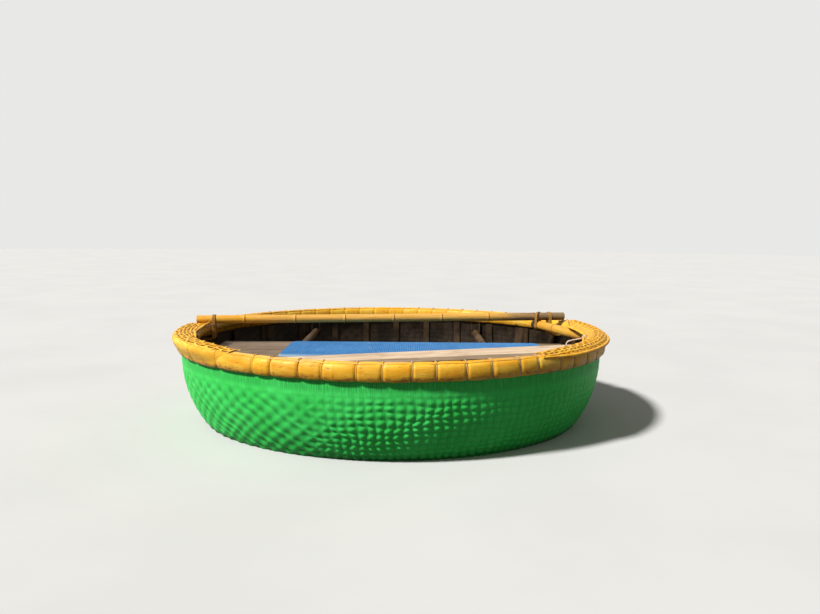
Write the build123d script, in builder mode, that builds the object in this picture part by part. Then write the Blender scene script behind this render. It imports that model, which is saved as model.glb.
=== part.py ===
"""Round basket boat of woven bamboo, with a lashed bamboo rim, a thwart pole and a plank seat.

Millimetres. +Z is up, +X runs along the longer side of the oval, +Y away from the seat's front.
The origin is on the ground under the middle of the flat bottom.

The outline of the rim is an oval of four tangent arcs. A place on it is given by its heading, the
direction in which the rim faces outward there: 0 is +X, 90 is +Y. A size called inset is measured
inward from the outermost face of the rim, square to the outline, so every profile of the rim and
of the wall is drawn once in (inset, height) and turned about the centre of each arc.
"""
import os
from math import atan2, ceil, cos, degrees, radians, sin, sqrt, tan

from build123d import *

# Outline of the rim
HALF_LENGTH = 1050.0
HALF_WIDTH = 920.0
ARC_JOINT_HEADING = 51.4

# Basket
RIM_TOP = 600.0
WALL = 9.0
UPPER_BILGE_RADIUS = 520.0
LOWER_BILGE_RADIUS = 400.0
UPPER_BILGE_END = 34.0
LOWER_BILGE_END = 80.0
BOTTOM_CONE_WIDTH = 180.0
PLATE_LAP = 5.0

# Split-bamboo gunwales, one each side of the basket's edge
GUNWALE_HEIGHT = 70.0
OUTER_GUNWALE = 24.0
INNER_GUNWALE = 22.0
GUNWALE_CROWN = 4.0
FILLER_HEIGHT = 8.0
FILLER_WIDTH = 34.0

# Lashings round the whole rim
LASH_THICKNESS = 3.0
LASH_WIDTH = 14.0
LASH_SHOULDER = 14.0
NEAR_LASHINGS = (
    233.5, 243.3, 247.4, 253.4, 258.1, 264.6, 269.4, 274.9, 279.4, 285.2, 290.4, 296.5, 300.9, 306.9,
)

# Thick bamboo inside each end of the rim: bent along it at the left, a straight chord at the right
END_POLE_RADIUS = 24.0
END_POLE_BORE = 15.0
END_POLE_BORE_TURN = 4.0
END_POLE_BORE_DEPTH = 55.0
END_POLE_RING = 1.5
END_POLE_RING_WIDTH = 8.0
LEFT_POLE_SPAN = (140.0, 200.0)
LEFT_POLE_RING_HEADING = 150.0
RIGHT_POLE_CROSSING = 147.0
RIGHT_POLE_PAST = 34.0
RIGHT_POLE_FOOT_HEADING = -8.6
RIGHT_POLE_RING_PLACE = 190.0

# Woven cane cap over each end of the rim. Its inner edge is a row of (heading, inset) corners
RIGHT_CAP_SPAN = (-58.0, 18.5)
LEFT_CAP_SPAN = (178.3, 238.0)
RIGHT_CAP_EDGE = ((18.5, 58.0), (-1.6, 157.0), (-10.0, 134.0), (-22.4, 88.0), (-34.0, 63.0))
LEFT_CAP_EDGE = ((178.3, 112.0), (185.0, 112.0), (192.0, 111.0), (202.0, 84.0), (213.0, 63.0))
CAP_THICKNESS = 5.0
CAP_CROWN = 9.0
CAP_LIP = 14.0
CAP_LAP = 12.0
CAP_ROLL_RADIUS = 8.0
CAP_ROLL_DROP = 9.0
CAP_EDGE_RADIUS = 6.0
CAP_EDGE_BEND = 40.0

# Thwart pole that lies across the rim, a little askew
THWART_RADIUS = 21.5
THWART_LEFT_INSET = 38.0
THWART_RIGHT_INSET = 43.0
THWART_Y = 182.0
THWART_TURN = 7.7
THWART_BORE = 14.0
THWART_BORE_DEPTH = 60.0
THWART_RING = 2.0
THWART_RING_WIDTH = 12.0
THWART_INTERNODE = 260.0
THWART_LASH_WIDTH = 18.0
THWART_LASH_THICKNESS = 5.0
POLE_LOOP_WIDTH = 12.0
POLE_LOOP_THICKNESS = 4.0
POLE_LOOP_HALF = 38.0
POLE_LOOP_CORNER = 18.0

# Ribs of split bamboo inside the basket
RIB_WIDTH = 34.0
RIB_THICKNESS = 8.0
RIB_TOP_GAP = 85.0
RIB_PITCH = HALF_LENGTH / 5.4
CROSS_RIBS_EACH_SIDE = 4
LONG_RIBS_EACH_SIDE = 3

# Seat
SEAT_DROP = 100.0
SEAT_BACK_Y = 132.0
SEAT_FRONT_Y = -300.0
SEAT_BOARD = 20.0
SEAT_BOARD_GAP = 4.0
SEAT_END_GAP = 52.0
MAT_THICKNESS = 3.0
MAT_LEFT_X = -530.0
MAT_RIGHT_X = 762.0
MAT_MARGIN = 4.0
MAT_CORNER = 30.0
PLANK_WIDTH = 150.0
PLANK_THICKNESS = 22.0
PLANK_GAP = 6.0
PLANK_LEFT_X = -760.0
PLANK_END_GAP = 10.0
PLANK_EDGE = 3.0
PLANK_LIFT = 70.0
PLANK_HOLE = 9.0
PLANK_HOLE_INSET = 28.0
TIE_RADIUS = 3.0
TIE_KNOT = 12.0
TIE_RISE = 14.0
TIE_BEND = 12.0
BEARER_X = HALF_LENGTH / 2.1
BEARER_RADIUS = 22.0
BEARER_LASH_WIDTH = 14.0
BEARER_LASH_THICKNESS = 4.0

# Running clearance between pieces that lie on each other
CLEAR = 0.3

os.makedirs("parts", exist_ok=True)

# Places that follow from the sizes above
joint_turn = radians(ARC_JOINT_HEADING)
END_CENTRE = (HALF_LENGTH - HALF_WIDTH) / (1 + tan(joint_turn) - 1 / cos(joint_turn))
SIDE_CENTRE = END_CENTRE * tan(joint_turn)
END_RADIUS = HALF_LENGTH - END_CENTRE
SIDE_RADIUS = HALF_WIDTH + SIDE_CENTRE

GUNWALE_TOP = RIM_TOP - FILLER_HEIGHT
GUNWALE_BOTTOM = GUNWALE_TOP - GUNWALE_HEIGHT
WALL_OUTSIDE = OUTER_GUNWALE + CLEAR
WALL_INSIDE = WALL_OUTSIDE + WALL
INNER_OUTSIDE = WALL_INSIDE + CLEAR
INNER_INSIDE = INNER_OUTSIDE + INNER_GUNWALE
LASH_TOP = RIM_TOP + CLEAR + LASH_THICKNESS
LASH_BOTTOM = GUNWALE_BOTTOM - CLEAR - LASH_THICKNESS
LASH_INSIDE = INNER_INSIDE + CLEAR + LASH_THICKNESS
FILLER_MIDDLE = WALL_OUTSIDE + WALL / 2
END_POLE_INSET = LASH_INSIDE + CLEAR + END_POLE_RADIUS
END_POLE_Z = RIM_TOP - END_POLE_RADIUS
CAP_SEAT = LASH_TOP + CLEAR
CAP_INSIDE = LASH_INSIDE + LASH_THICKNESS
THWART_Z = RIM_TOP + CLEAR + THWART_RADIUS
RIBS_INSIDE = WALL_INSIDE + 2 * CLEAR + 2 * RIB_THICKNESS
SEAT_TOP = RIM_TOP - SEAT_DROP
BOARD_TOP = SEAT_TOP - MAT_THICKNESS - CLEAR
BEARER_Z = BOARD_TOP - SEAT_BOARD - CLEAR - BEARER_RADIUS

# Bilge arcs of the outer skin, as centres in (inset, height)
BOTTOM_SLOPE = 90.0 - LOWER_BILGE_END
UPPER_CENTRE_INSET = WALL_OUTSIDE + UPPER_BILGE_RADIUS
BILGE_STEP = UPPER_BILGE_RADIUS - LOWER_BILGE_RADIUS
LOWER_CENTRE_INSET = UPPER_CENTRE_INSET - BILGE_STEP * cos(radians(UPPER_BILGE_END))
BOTTOM_RISE = BOTTOM_CONE_WIDTH * tan(radians(BOTTOM_SLOPE))
LOWER_CENTRE_Z = BOTTOM_RISE + LOWER_BILGE_RADIUS * sin(radians(LOWER_BILGE_END))
UPPER_CENTRE_Z = LOWER_CENTRE_Z + BILGE_STEP * sin(radians(UPPER_BILGE_END))
CREASE_INSET = (
    LOWER_CENTRE_INSET - LOWER_BILGE_RADIUS * cos(radians(LOWER_BILGE_END)) + BOTTOM_CONE_WIDTH
)
PLATE_INSET = CREASE_INSET + PLATE_LAP


def arc_at(heading):
    """Centre and radius of the outline's arc that faces a heading, with the span of that arc."""
    turn = (heading + ARC_JOINT_HEADING) % 360
    if turn < 2 * ARC_JOINT_HEADING:
        return (END_CENTRE, 0), END_RADIUS, 0
    if turn < 180:
        return (0, -SIDE_CENTRE), SIDE_RADIUS, 90
    if turn < 180 + 2 * ARC_JOINT_HEADING:
        return (-END_CENTRE, 0), END_RADIUS, 180
    return (0, SIDE_CENTRE), SIDE_RADIUS, 270


def spans(start, end):
    """The pieces of a stretch of rim, cut where one arc of the outline meets the next."""
    joints = [
        turn * 360 + middle + side * ARC_JOINT_HEADING
        for turn in (-1, 0, 1)
        for middle in (0, 180)
        for side in (-1, 1)
    ]
    cuts = [start] + sorted(h for h in joints if start < h < end) + [end]
    return list(zip(cuts[:-1], cuts[1:]))


def rim_point(heading, inset, height=0.0):
    """Point at an inset and a height, at a heading on the outline."""
    (x, y), radius, _ = arc_at(heading)
    reach = radius - inset
    return Vector(x + reach * cos(radians(heading)), y + reach * sin(radians(heading)), height)


def end_reach(y, inset):
    """How far the end arcs reach along X at a distance y from the long axis."""
    return END_CENTRE + sqrt((END_RADIUS - inset) ** 2 - y**2)


def side_reach(x, inset):
    """How far the side arcs reach along Y at a distance x from the short axis."""
    return sqrt((SIDE_RADIUS - inset) ** 2 - x**2) - SIDE_CENTRE


# Places that follow from how far the rim reaches
SEAT_HALF_LENGTH = end_reach(SEAT_FRONT_Y, RIBS_INSIDE) - SEAT_END_GAP
plank_y = SEAT_FRONT_Y - PLANK_GAP - PLANK_WIDTH / 2
plank_front = plank_y - PLANK_WIDTH / 2
PLANK_RIGHT_X = end_reach(plank_front, LASH_INSIDE) - PLANK_END_GAP


def sweep_rim(section, start, end, mode=Mode.ADD):
    """Turn a section along the rim. section(radius) gives its face for an arc of that radius."""
    for first, last in spans(start, end):
        middle = (first + last) / 2
        (x, y), radius, _ = arc_at(middle)
        out = Vector(cos(radians(first)), sin(radians(first)), 0)
        plane = Plane(origin=(x, y, 0), x_dir=out, z_dir=out.cross(Vector(0, 0, 1)))
        face = section(radius)
        with BuildSketch(plane) as profile:
            add(face)
        revolve(
            profile.sketch,
            axis=Axis((x, y, 0), (0, 0, 1)),
            revolution_arc=last - first,
            mode=mode,
        )


def oval_face(inset):
    """The outline of the boat, moved inward by an inset."""
    corners = [rim_point(sign * ARC_JOINT_HEADING + base, inset) for base in (0, 180) for sign in (-1, 1)]
    middles = [rim_point(heading, inset) for heading in (0, 90, 180, 270)]
    with BuildSketch() as oval:
        with BuildLine():
            for place in range(4):
                ThreePointArc(corners[place], middles[place], corners[(place + 1) % 4])
        make_face()
    return oval.sketch


def bilge_point(centre_inset, centre_z, radius, angle):
    """Point on a bilge arc, as (inset, height): 0 degrees faces outward and 90 down."""
    return (
        centre_inset - radius * cos(radians(angle)),
        centre_z - radius * sin(radians(angle)),
    )


def bowl_skin(off):
    """Corners and arc middles of the skin that lies off inside the outer one."""
    upper = UPPER_BILGE_RADIUS - off
    lower = LOWER_BILGE_RADIUS - off
    turn = (UPPER_BILGE_END + LOWER_BILGE_END) / 2
    return {
        "start": (WALL_OUTSIDE + off, UPPER_CENTRE_Z),
        "upper": bilge_point(UPPER_CENTRE_INSET, UPPER_CENTRE_Z, upper, UPPER_BILGE_END / 2),
        "joint": bilge_point(UPPER_CENTRE_INSET, UPPER_CENTRE_Z, upper, UPPER_BILGE_END),
        "lower": bilge_point(LOWER_CENTRE_INSET, LOWER_CENTRE_Z, lower, turn),
        "end": bilge_point(LOWER_CENTRE_INSET, LOWER_CENTRE_Z, lower, LOWER_BILGE_END),
        "crease": (CREASE_INSET + off * tan(radians(BOTTOM_SLOPE / 2)), off),
        "plate": (PLATE_INSET, off),
    }


def bowl_section(radius, off, thickness, top):
    """Section of a layer of the basket, from its upper edge to the flat plate of the bottom."""
    outer = bowl_skin(off)
    inner = bowl_skin(off + thickness)

    def at(point):
        return (radius - point[0], point[1])

    with BuildSketch() as section:
        with BuildLine():
            Line(at((WALL_OUTSIDE + off, top)), at(outer["start"]))
            ThreePointArc(at(outer["start"]), at(outer["upper"]), at(outer["joint"]))
            ThreePointArc(at(outer["joint"]), at(outer["lower"]), at(outer["end"]))
            Line(at(outer["end"]), at(outer["crease"]))
            Line(at(outer["crease"]), at(outer["plate"]))
            Line(at(outer["plate"]), at(inner["plate"]))
            Line(at(inner["plate"]), at(inner["crease"]))
            Line(at(inner["crease"]), at(inner["end"]))
            ThreePointArc(at(inner["end"]), at(inner["lower"]), at(inner["joint"]))
            ThreePointArc(at(inner["joint"]), at(inner["upper"]), at(inner["start"]))
            Line(at(inner["start"]), at((WALL_OUTSIDE + off + thickness, top)))
            Line(at((WALL_OUTSIDE + off + thickness, top)), at((WALL_OUTSIDE + off, top)))
        make_face()
    return section.sketch


def bowl(off, thickness, top):
    """A layer of the basket: its wall all round, and its flat plate."""
    sweep_rim(lambda radius: bowl_section(radius, off, thickness, top), -ARC_JOINT_HEADING, 360 - ARC_JOINT_HEADING)
    plate = oval_face(PLATE_INSET)
    with BuildSketch(Plane.XY.offset(off)) as floor:
        add(plate)
    extrude(floor.sketch, amount=thickness)


def finish(part, name):
    """Label a finished piece and write it."""
    part.label = name
    export_step(part, f"parts/{name}.step")


# Basket of woven bamboo
with BuildPart() as hull_basket:
    bowl(0, WALL, GUNWALE_TOP)
finish(hull_basket.part, "hull_basket")


def gunwale_section(radius, flat_inset, face_inset):
    """Split bamboo: a flat face against the basket and a rounded face away from it."""
    flat = radius - flat_inset
    face = radius - face_inset
    edge = face - GUNWALE_CROWN if face > flat else face + GUNWALE_CROWN
    middle = (GUNWALE_BOTTOM + GUNWALE_TOP) / 2
    with BuildSketch() as section:
        with BuildLine():
            Line((flat, GUNWALE_BOTTOM), (edge, GUNWALE_BOTTOM))
            ThreePointArc((edge, GUNWALE_BOTTOM), (face, middle), (edge, GUNWALE_TOP))
            Line((edge, GUNWALE_TOP), (flat, GUNWALE_TOP))
            Line((flat, GUNWALE_TOP), (flat, GUNWALE_BOTTOM))
        make_face()
    return section.sketch


# Lengths of gunwale, each with its name and the headings of its ends
OUTER_LENGTHS = (
    ("right", -40, 40),
    ("far", 40, 140),
    ("left", 140, 220),
    ("near", 220, 320),
)
INNER_LENGTHS = (
    ("right", -62, 62),
    ("far", 62, 118),
    ("left", 118, 242),
    ("near", 242, 298),
)

for place, start, end in OUTER_LENGTHS:
    with BuildPart() as outer_gunwale:
        sweep_rim(lambda radius: gunwale_section(radius, OUTER_GUNWALE, 0), start, end)
    finish(outer_gunwale.part, f"outer_gunwale_{place}")

for place, start, end in INNER_LENGTHS:
    with BuildPart() as inner_gunwale:
        sweep_rim(lambda radius: gunwale_section(radius, INNER_OUTSIDE, INNER_INSIDE), start, end)
    finish(inner_gunwale.part, f"inner_gunwale_{place}")


def filler_section(radius):
    """Half-round cane that covers the basket's edge between the gunwales."""
    base = GUNWALE_TOP + CLEAR
    middle = radius - FILLER_MIDDLE
    half = FILLER_WIDTH / 2
    with BuildSketch() as section:
        with BuildLine():
            ThreePointArc((middle + half, base), (middle, RIM_TOP), (middle - half, base))
            Line((middle - half, base), (middle + half, base))
        make_face()
    return section.sketch


for place, start in (("far", 0), ("near", 180)):
    with BuildPart() as rim_filler:
        sweep_rim(filler_section, start, start + 180)
    finish(rim_filler.part, f"rim_filler_{place}")


def lash_section(radius):
    """A turn of cane round the gunwales and over the filler, open where it passes the wall."""
    half = FILLER_WIDTH / 2

    def loop(grow):
        bottom = GUNWALE_BOTTOM - CLEAR - grow
        top = RIM_TOP + CLEAR + grow
        return [
            (OUTER_GUNWALE, bottom),
            (GUNWALE_CROWN - grow / 2, bottom),
            (-CLEAR - grow, bottom + LASH_SHOULDER / 3),
            (-CLEAR - grow, GUNWALE_TOP - CLEAR),
            (FILLER_MIDDLE - half, top),
            (FILLER_MIDDLE + half, top),
            (INNER_INSIDE + CLEAR + grow, GUNWALE_TOP - CLEAR),
            (INNER_INSIDE + CLEAR + grow, bottom + LASH_SHOULDER / 3),
            (INNER_INSIDE - GUNWALE_CROWN + grow / 2, bottom),
            (INNER_OUTSIDE, bottom),
        ]

    corners = loop(LASH_THICKNESS) + loop(0)[::-1]
    with BuildSketch() as section:
        with BuildLine():
            Polyline([(radius - inset, z) for inset, z in corners], close=True)
        make_face()
    return section.sketch


def lash_headings(first, last, count):
    """Evenly spaced headings from a first to a last one."""
    return [first + place * (last - first) / (count - 1) for place in range(count)]


# Groups of rim lashings: name and headings
LASH_GROUPS = (
    ("right", lash_headings(-47.7, 47.7, 14)),
    ("far", lash_headings(53.8, 126.2, 16)),
    ("left", lash_headings(132.6, 221.7, 12)),
    ("near", NEAR_LASHINGS),
)

for place, headings in LASH_GROUPS:
    with BuildPart() as rim_lashings:
        for heading in headings:
            half_turn = degrees(LASH_WIDTH / 2 / arc_at(heading)[1])
            sweep_rim(lash_section, heading - half_turn, heading + half_turn)
    finish(rim_lashings.part, f"rim_lashings_{place}")


def end_pole_section(radius, size):
    """Round section of the thick bamboo inside an end of the rim."""
    with BuildSketch() as section:
        with Locations((radius - END_POLE_INSET, END_POLE_Z)):
            Circle(size)
    return section.sketch


def cap_section(radius):
    """Woven cane over the top of the rim, with a rolled border outside it."""
    outer = -CLEAR - LASH_THICKNESS - CLEAR
    skin = outer - CAP_THICKNESS
    lip = GUNWALE_TOP - CAP_LIP
    shoulder = FILLER_MIDDLE - FILLER_WIDTH / 2
    inner_top = CAP_SEAT + CAP_THICKNESS

    def at(inset, height):
        return (radius - inset, height)

    with BuildSketch() as section:
        with BuildLine():
            Line(at(outer, lip), at(outer, GUNWALE_TOP))
            Line(at(outer, GUNWALE_TOP), at(shoulder, CAP_SEAT))
            Line(at(shoulder, CAP_SEAT), at(CAP_INSIDE, CAP_SEAT))
            Line(at(CAP_INSIDE, CAP_SEAT), at(CAP_INSIDE, inner_top))
            ThreePointArc(
                at(CAP_INSIDE, inner_top),
                at(FILLER_MIDDLE, CAP_SEAT + CAP_CROWN),
                at(skin, GUNWALE_TOP),
            )
            Line(at(skin, GUNWALE_TOP), at(skin, lip))
            Line(at(skin, lip), at(outer, lip))
        make_face()
        with Locations(at(outer - CAP_ROLL_RADIUS, GUNWALE_TOP - CAP_ROLL_DROP)):
            Circle(CAP_ROLL_RADIUS)
    return section.sketch


# The cap: over the rim, a flat web from there inward over the thick bamboo, and a rolled inner edge
for side, cap_span, edge_rows in (
    ("right", RIGHT_CAP_SPAN, RIGHT_CAP_EDGE),
    ("left", LEFT_CAP_SPAN, LEFT_CAP_EDGE),
):
    corners = [rim_point(heading, inset) for heading, inset in edge_rows]
    start, end = edge_rows[0][0], edge_rows[-1][0]
    lap_start, lap_middle, lap_end = [
        rim_point(heading, CAP_INSIDE - CAP_LAP) for heading in (start, (start + end) / 2, end)
    ]
    with BuildPart() as cane_cap:
        sweep_rim(cap_section, *cap_span)
        with BuildSketch(Plane.XY.offset(CAP_SEAT)) as web:
            with BuildLine():
                FilletPolyline(*corners, radius=CAP_EDGE_BEND)
                Line(corners[-1], lap_end)
                ThreePointArc(lap_end, lap_middle, lap_start)
                Line(lap_start, corners[0])
            make_face()
        extrude(web.sketch, amount=CAP_THICKNESS)
        with BuildLine() as edge_path:
            raised = [rim_point(heading, inset, CAP_SEAT + CAP_EDGE_RADIUS) for heading, inset in edge_rows]
            FilletPolyline(*raised, radius=CAP_EDGE_BEND)
        with BuildSketch(Plane(origin=edge_path.line @ 0, z_dir=edge_path.line % 0)) as edge_roll:
            Circle(CAP_EDGE_RADIUS)
        sweep(edge_roll.sketch, path=edge_path.line)
    finish(cane_cap.part, f"cane_cap_{side}")

# Left thick bamboo, bent along the rim
pole_start, pole_end = LEFT_POLE_SPAN
with BuildPart() as left_pole:
    sweep_rim(lambda radius: end_pole_section(radius, END_POLE_RADIUS), pole_start, pole_end)
    ring_turn = degrees(END_POLE_RING_WIDTH / 2 / END_RADIUS)
    sweep_rim(
        lambda radius: end_pole_section(radius, END_POLE_RADIUS + END_POLE_RING),
        LEFT_POLE_RING_HEADING - ring_turn,
        LEFT_POLE_RING_HEADING + ring_turn,
    )
    for first, last in (
        (pole_start, pole_start + END_POLE_BORE_TURN),
        (pole_end - END_POLE_BORE_TURN, pole_end),
    ):
        sweep_rim(lambda radius: end_pole_section(radius, END_POLE_BORE), first, last, mode=Mode.SUBTRACT)
finish(left_pole.part, "end_pole_left")

# Thwart pole and its lashings are drawn along X at their height, and then turned into place
THWART_PLACE = Pos(0, THWART_Y, 0) * Rot(0, 0, THWART_TURN)


def thwart_crossing(aside, inset, sign):
    """How far along the thwart a line beside its axis crosses the rim at an inset, at one end."""
    turn = radians(THWART_TURN)
    along = Vector(cos(turn), sin(turn))
    start = Vector(-aside * sin(turn) - sign * END_CENTRE, THWART_Y + aside * cos(turn))
    middle = start.dot(along)
    return -middle + sign * sqrt(middle**2 - start.dot(start) + (END_RADIUS - inset) ** 2)


THWART_LEFT = thwart_crossing(0, THWART_LEFT_INSET, -1)
THWART_RIGHT = thwart_crossing(0, THWART_RIGHT_INSET, 1)

# Right thick bamboo: straight, from under the thwart to the rim
thwart_turn = radians(THWART_TURN)
crossing_place = THWART_RIGHT - RIGHT_POLE_CROSSING
crossing = Vector(crossing_place * cos(thwart_turn), THWART_Y + crossing_place * sin(thwart_turn), END_POLE_Z)
pole_foot = rim_point(RIGHT_POLE_FOOT_HEADING, END_POLE_INSET, END_POLE_Z)
pole_dir = (pole_foot - crossing).normalized()
pole_length = (pole_foot - crossing).length + RIGHT_POLE_PAST
pole_plane = Plane(origin=crossing - pole_dir * RIGHT_POLE_PAST, x_dir=(0, 0, 1), z_dir=pole_dir)
with BuildPart() as right_pole:
    with BuildSketch(pole_plane) as round_end:
        Circle(END_POLE_RADIUS)
    extrude(round_end.sketch, amount=pole_length)
    with BuildSketch(pole_plane.offset(RIGHT_POLE_RING_PLACE)) as ring:
        Circle(END_POLE_RADIUS + END_POLE_RING)
    extrude(ring.sketch, amount=END_POLE_RING_WIDTH)
    for start in (0, pole_length - END_POLE_BORE_DEPTH):
        with BuildSketch(pole_plane.offset(start)) as bore:
            Circle(END_POLE_BORE)
        extrude(bore.sketch, amount=END_POLE_BORE_DEPTH, mode=Mode.SUBTRACT)
finish(right_pole.part, "end_pole_right")

# One straight bamboo, hollow at its cut ends, with a raised ring at each node
with BuildPart() as thwart_pole:
    with BuildSketch(Plane.YZ.offset(THWART_LEFT)):
        with Locations((0, THWART_Z)):
            Circle(THWART_RADIUS)
    extrude(amount=THWART_RIGHT - THWART_LEFT)
    for place in range(ceil(THWART_LEFT / THWART_INTERNODE), ceil(THWART_RIGHT / THWART_INTERNODE)):
        start = place * THWART_INTERNODE - THWART_RING_WIDTH / 2
        with BuildSketch(Plane.YZ.offset(start)):
            with Locations((0, THWART_Z)):
                Circle(THWART_RADIUS + THWART_RING)
        extrude(amount=THWART_RING_WIDTH)
    for start in (THWART_LEFT, THWART_RIGHT - THWART_BORE_DEPTH):
        with BuildSketch(Plane.YZ.offset(start)):
            with Locations((0, THWART_Z)):
                Circle(THWART_BORE)
        extrude(amount=THWART_BORE_DEPTH, mode=Mode.SUBTRACT)
finish(THWART_PLACE * thwart_pole.part, "thwart_pole")

# Loop that holds the thwart down on the right thick bamboo, square to the middle between the two
loop_dir = (pole_dir + Vector(cos(thwart_turn), sin(thwart_turn), 0)).normalized()
loop_low = END_POLE_Z - END_POLE_RADIUS - CLEAR
loop_high = THWART_Z + THWART_RADIUS + CLEAR
loop_origin = Vector(crossing.X, crossing.Y, (loop_low + loop_high) / 2) - loop_dir * POLE_LOOP_WIDTH / 2
with BuildPart() as pole_loop:
    with BuildSketch(Plane(origin=loop_origin, x_dir=(0, 0, 1), z_dir=loop_dir)) as loop_face:
        grown = 2 * POLE_LOOP_THICKNESS
        RectangleRounded(
            loop_high - loop_low + grown, 2 * POLE_LOOP_HALF + grown, POLE_LOOP_CORNER + POLE_LOOP_THICKNESS
        )
        RectangleRounded(loop_high - loop_low, 2 * POLE_LOOP_HALF, POLE_LOOP_CORNER, mode=Mode.SUBTRACT)
    extrude(loop_face.sketch, amount=POLE_LOOP_WIDTH)

# Lashings of the thwart: over the pole, down inside the thick bamboo and out under it to the wall
strap_top = GUNWALE_BOTTOM - CLEAR
strap_low = strap_top - THWART_LASH_THICKNESS
leg_inner = THWART_RADIUS + CLEAR
leg_outer = leg_inner + THWART_LASH_THICKNESS
for side, sign in (("right", 1), ("left", -1)):
    inboard = min(
        sign * thwart_crossing(aside, END_POLE_INSET + END_POLE_RADIUS, sign) for aside in (-leg_outer, leg_outer)
    )
    inboard -= CLEAR + THWART_LASH_WIDTH
    with BuildPart() as thwart_lashing:
        with BuildSketch(Plane.YZ.offset(sign * inboard)) as strap:
            with BuildLine():
                Line((-leg_inner, strap_low), (-leg_inner, THWART_Z))
                ThreePointArc((-leg_inner, THWART_Z), (0, THWART_Z + leg_inner), (leg_inner, THWART_Z))
                Line((leg_inner, THWART_Z), (leg_inner, strap_low))
                Line((leg_inner, strap_low), (leg_outer, strap_low))
                Line((leg_outer, strap_low), (leg_outer, THWART_Z))
                ThreePointArc((leg_outer, THWART_Z), (0, THWART_Z + leg_outer), (-leg_outer, THWART_Z))
                Line((-leg_outer, THWART_Z), (-leg_outer, strap_low))
                Line((-leg_outer, strap_low), (-leg_inner, strap_low))
            make_face()
        extrude(strap.sketch, amount=sign * THWART_LASH_WIDTH)
        for leg in (-1, 1):
            walls = [
                sign * thwart_crossing(leg * aside, WALL_INSIDE, sign) for aside in (leg_inner, leg_outer)
            ]
            reach = min(walls) - CLEAR - inboard
            with Locations((sign * (inboard + reach / 2), leg * (leg_inner + leg_outer) / 2)):
                with Locations((0, 0, (strap_low + strap_top) / 2)):
                    Box(reach, THWART_LASH_THICKNESS, THWART_LASH_THICKNESS)
    ties = THWART_PLACE * thwart_lashing.part
    if side == "right":
        ties = ties + pole_loop.part
    finish(ties, f"thwart_lashing_{side}")

# Ribs: cross ribs lie on the basket, lengthwise ribs lie on the cross ribs
rib_top = RIM_TOP - RIB_TOP_GAP
with BuildPart() as ribs_crosswise:
    bowl(WALL + CLEAR, RIB_THICKNESS, GUNWALE_TOP)
    slabs = [
        Pos(place * RIB_PITCH, 0, rib_top / 2) * Box(RIB_WIDTH, 2 * HALF_WIDTH, rib_top, mode=Mode.PRIVATE)
        for place in range(-CROSS_RIBS_EACH_SIDE, CROSS_RIBS_EACH_SIDE + 1)
    ]
    add(slabs, mode=Mode.INTERSECT)
finish(ribs_crosswise.part, "ribs_crosswise")

with BuildPart() as ribs_lengthwise:
    bowl(WALL + 2 * CLEAR + RIB_THICKNESS, RIB_THICKNESS, GUNWALE_TOP)
    slabs = [
        Pos(0, place * RIB_PITCH, rib_top / 2) * Box(2 * HALF_LENGTH, RIB_WIDTH, rib_top, mode=Mode.PRIVATE)
        for place in range(-LONG_RIBS_EACH_SIDE, LONG_RIBS_EACH_SIDE + 1)
    ]
    add(slabs, mode=Mode.INTERSECT)
finish(ribs_lengthwise.part, "ribs_lengthwise")

# Seat bearers: two round bamboos from wall to wall under the seat, hung from the inner gunwale
bearer_end = side_reach(BEARER_X + BEARER_RADIUS, WALL_INSIDE) - 2 * CLEAR - 2
for side, sign in (("right", 1), ("left", -1)):
    with BuildPart() as seat_bearer:
        with BuildSketch(Plane.XZ.offset(-bearer_end)):
            with Locations((sign * BEARER_X, BEARER_Z)):
                Circle(BEARER_RADIUS)
        extrude(amount=2 * bearer_end)
    finish(seat_bearer.part, f"seat_bearer_{side}")

with BuildPart() as bearer_lashings:
    for sign_x in (1, -1):
        for sign_y in (1, -1):
            lash_y = sign_y * (bearer_end - BEARER_LASH_WIDTH)
            inside = BEARER_RADIUS + CLEAR
            outside = inside + BEARER_LASH_THICKNESS
            x = sign_x * BEARER_X
            leg_top = LASH_BOTTOM - CLEAR
            with BuildSketch(Plane.XZ.offset(-lash_y - BEARER_LASH_WIDTH / 2)):
                with BuildLine():
                    Line((x - inside, leg_top), (x - inside, BEARER_Z))
                    ThreePointArc(
                        (x - inside, BEARER_Z), (x, BEARER_Z - inside), (x + inside, BEARER_Z)
                    )
                    Line((x + inside, BEARER_Z), (x + inside, leg_top))
                    Line((x + inside, leg_top), (x + outside, leg_top))
                    Line((x + outside, leg_top), (x + outside, BEARER_Z))
                    ThreePointArc(
                        (x + outside, BEARER_Z), (x, BEARER_Z - outside), (x - outside, BEARER_Z)
                    )
                    Line((x - outside, BEARER_Z), (x - outside, leg_top))
                    Line((x - outside, leg_top), (x - inside, leg_top))
                make_face()
            extrude(amount=BEARER_LASH_WIDTH)
finish(bearer_lashings.part, "bearer_lashings")

# Seat boards, the mat on them and the bare front plank
board_width = (SEAT_BACK_Y - SEAT_FRONT_Y - SEAT_BOARD_GAP) / 2
BOARD_TABLE = (
    ("back", SEAT_BACK_Y - board_width / 2),
    ("front", SEAT_FRONT_Y + board_width / 2),
)
for place, y in BOARD_TABLE:
    with BuildPart() as seat_board:
        with BuildSketch(Plane.XY.offset(BOARD_TOP - SEAT_BOARD)):
            with Locations((0, y)):
                Rectangle(2 * SEAT_HALF_LENGTH, board_width)
        extrude(amount=SEAT_BOARD)
        fillet(seat_board.edges().filter_by(Axis.X).group_by(Axis.Z)[-1], radius=3)
    finish(seat_board.part, f"seat_board_{place}")

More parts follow.
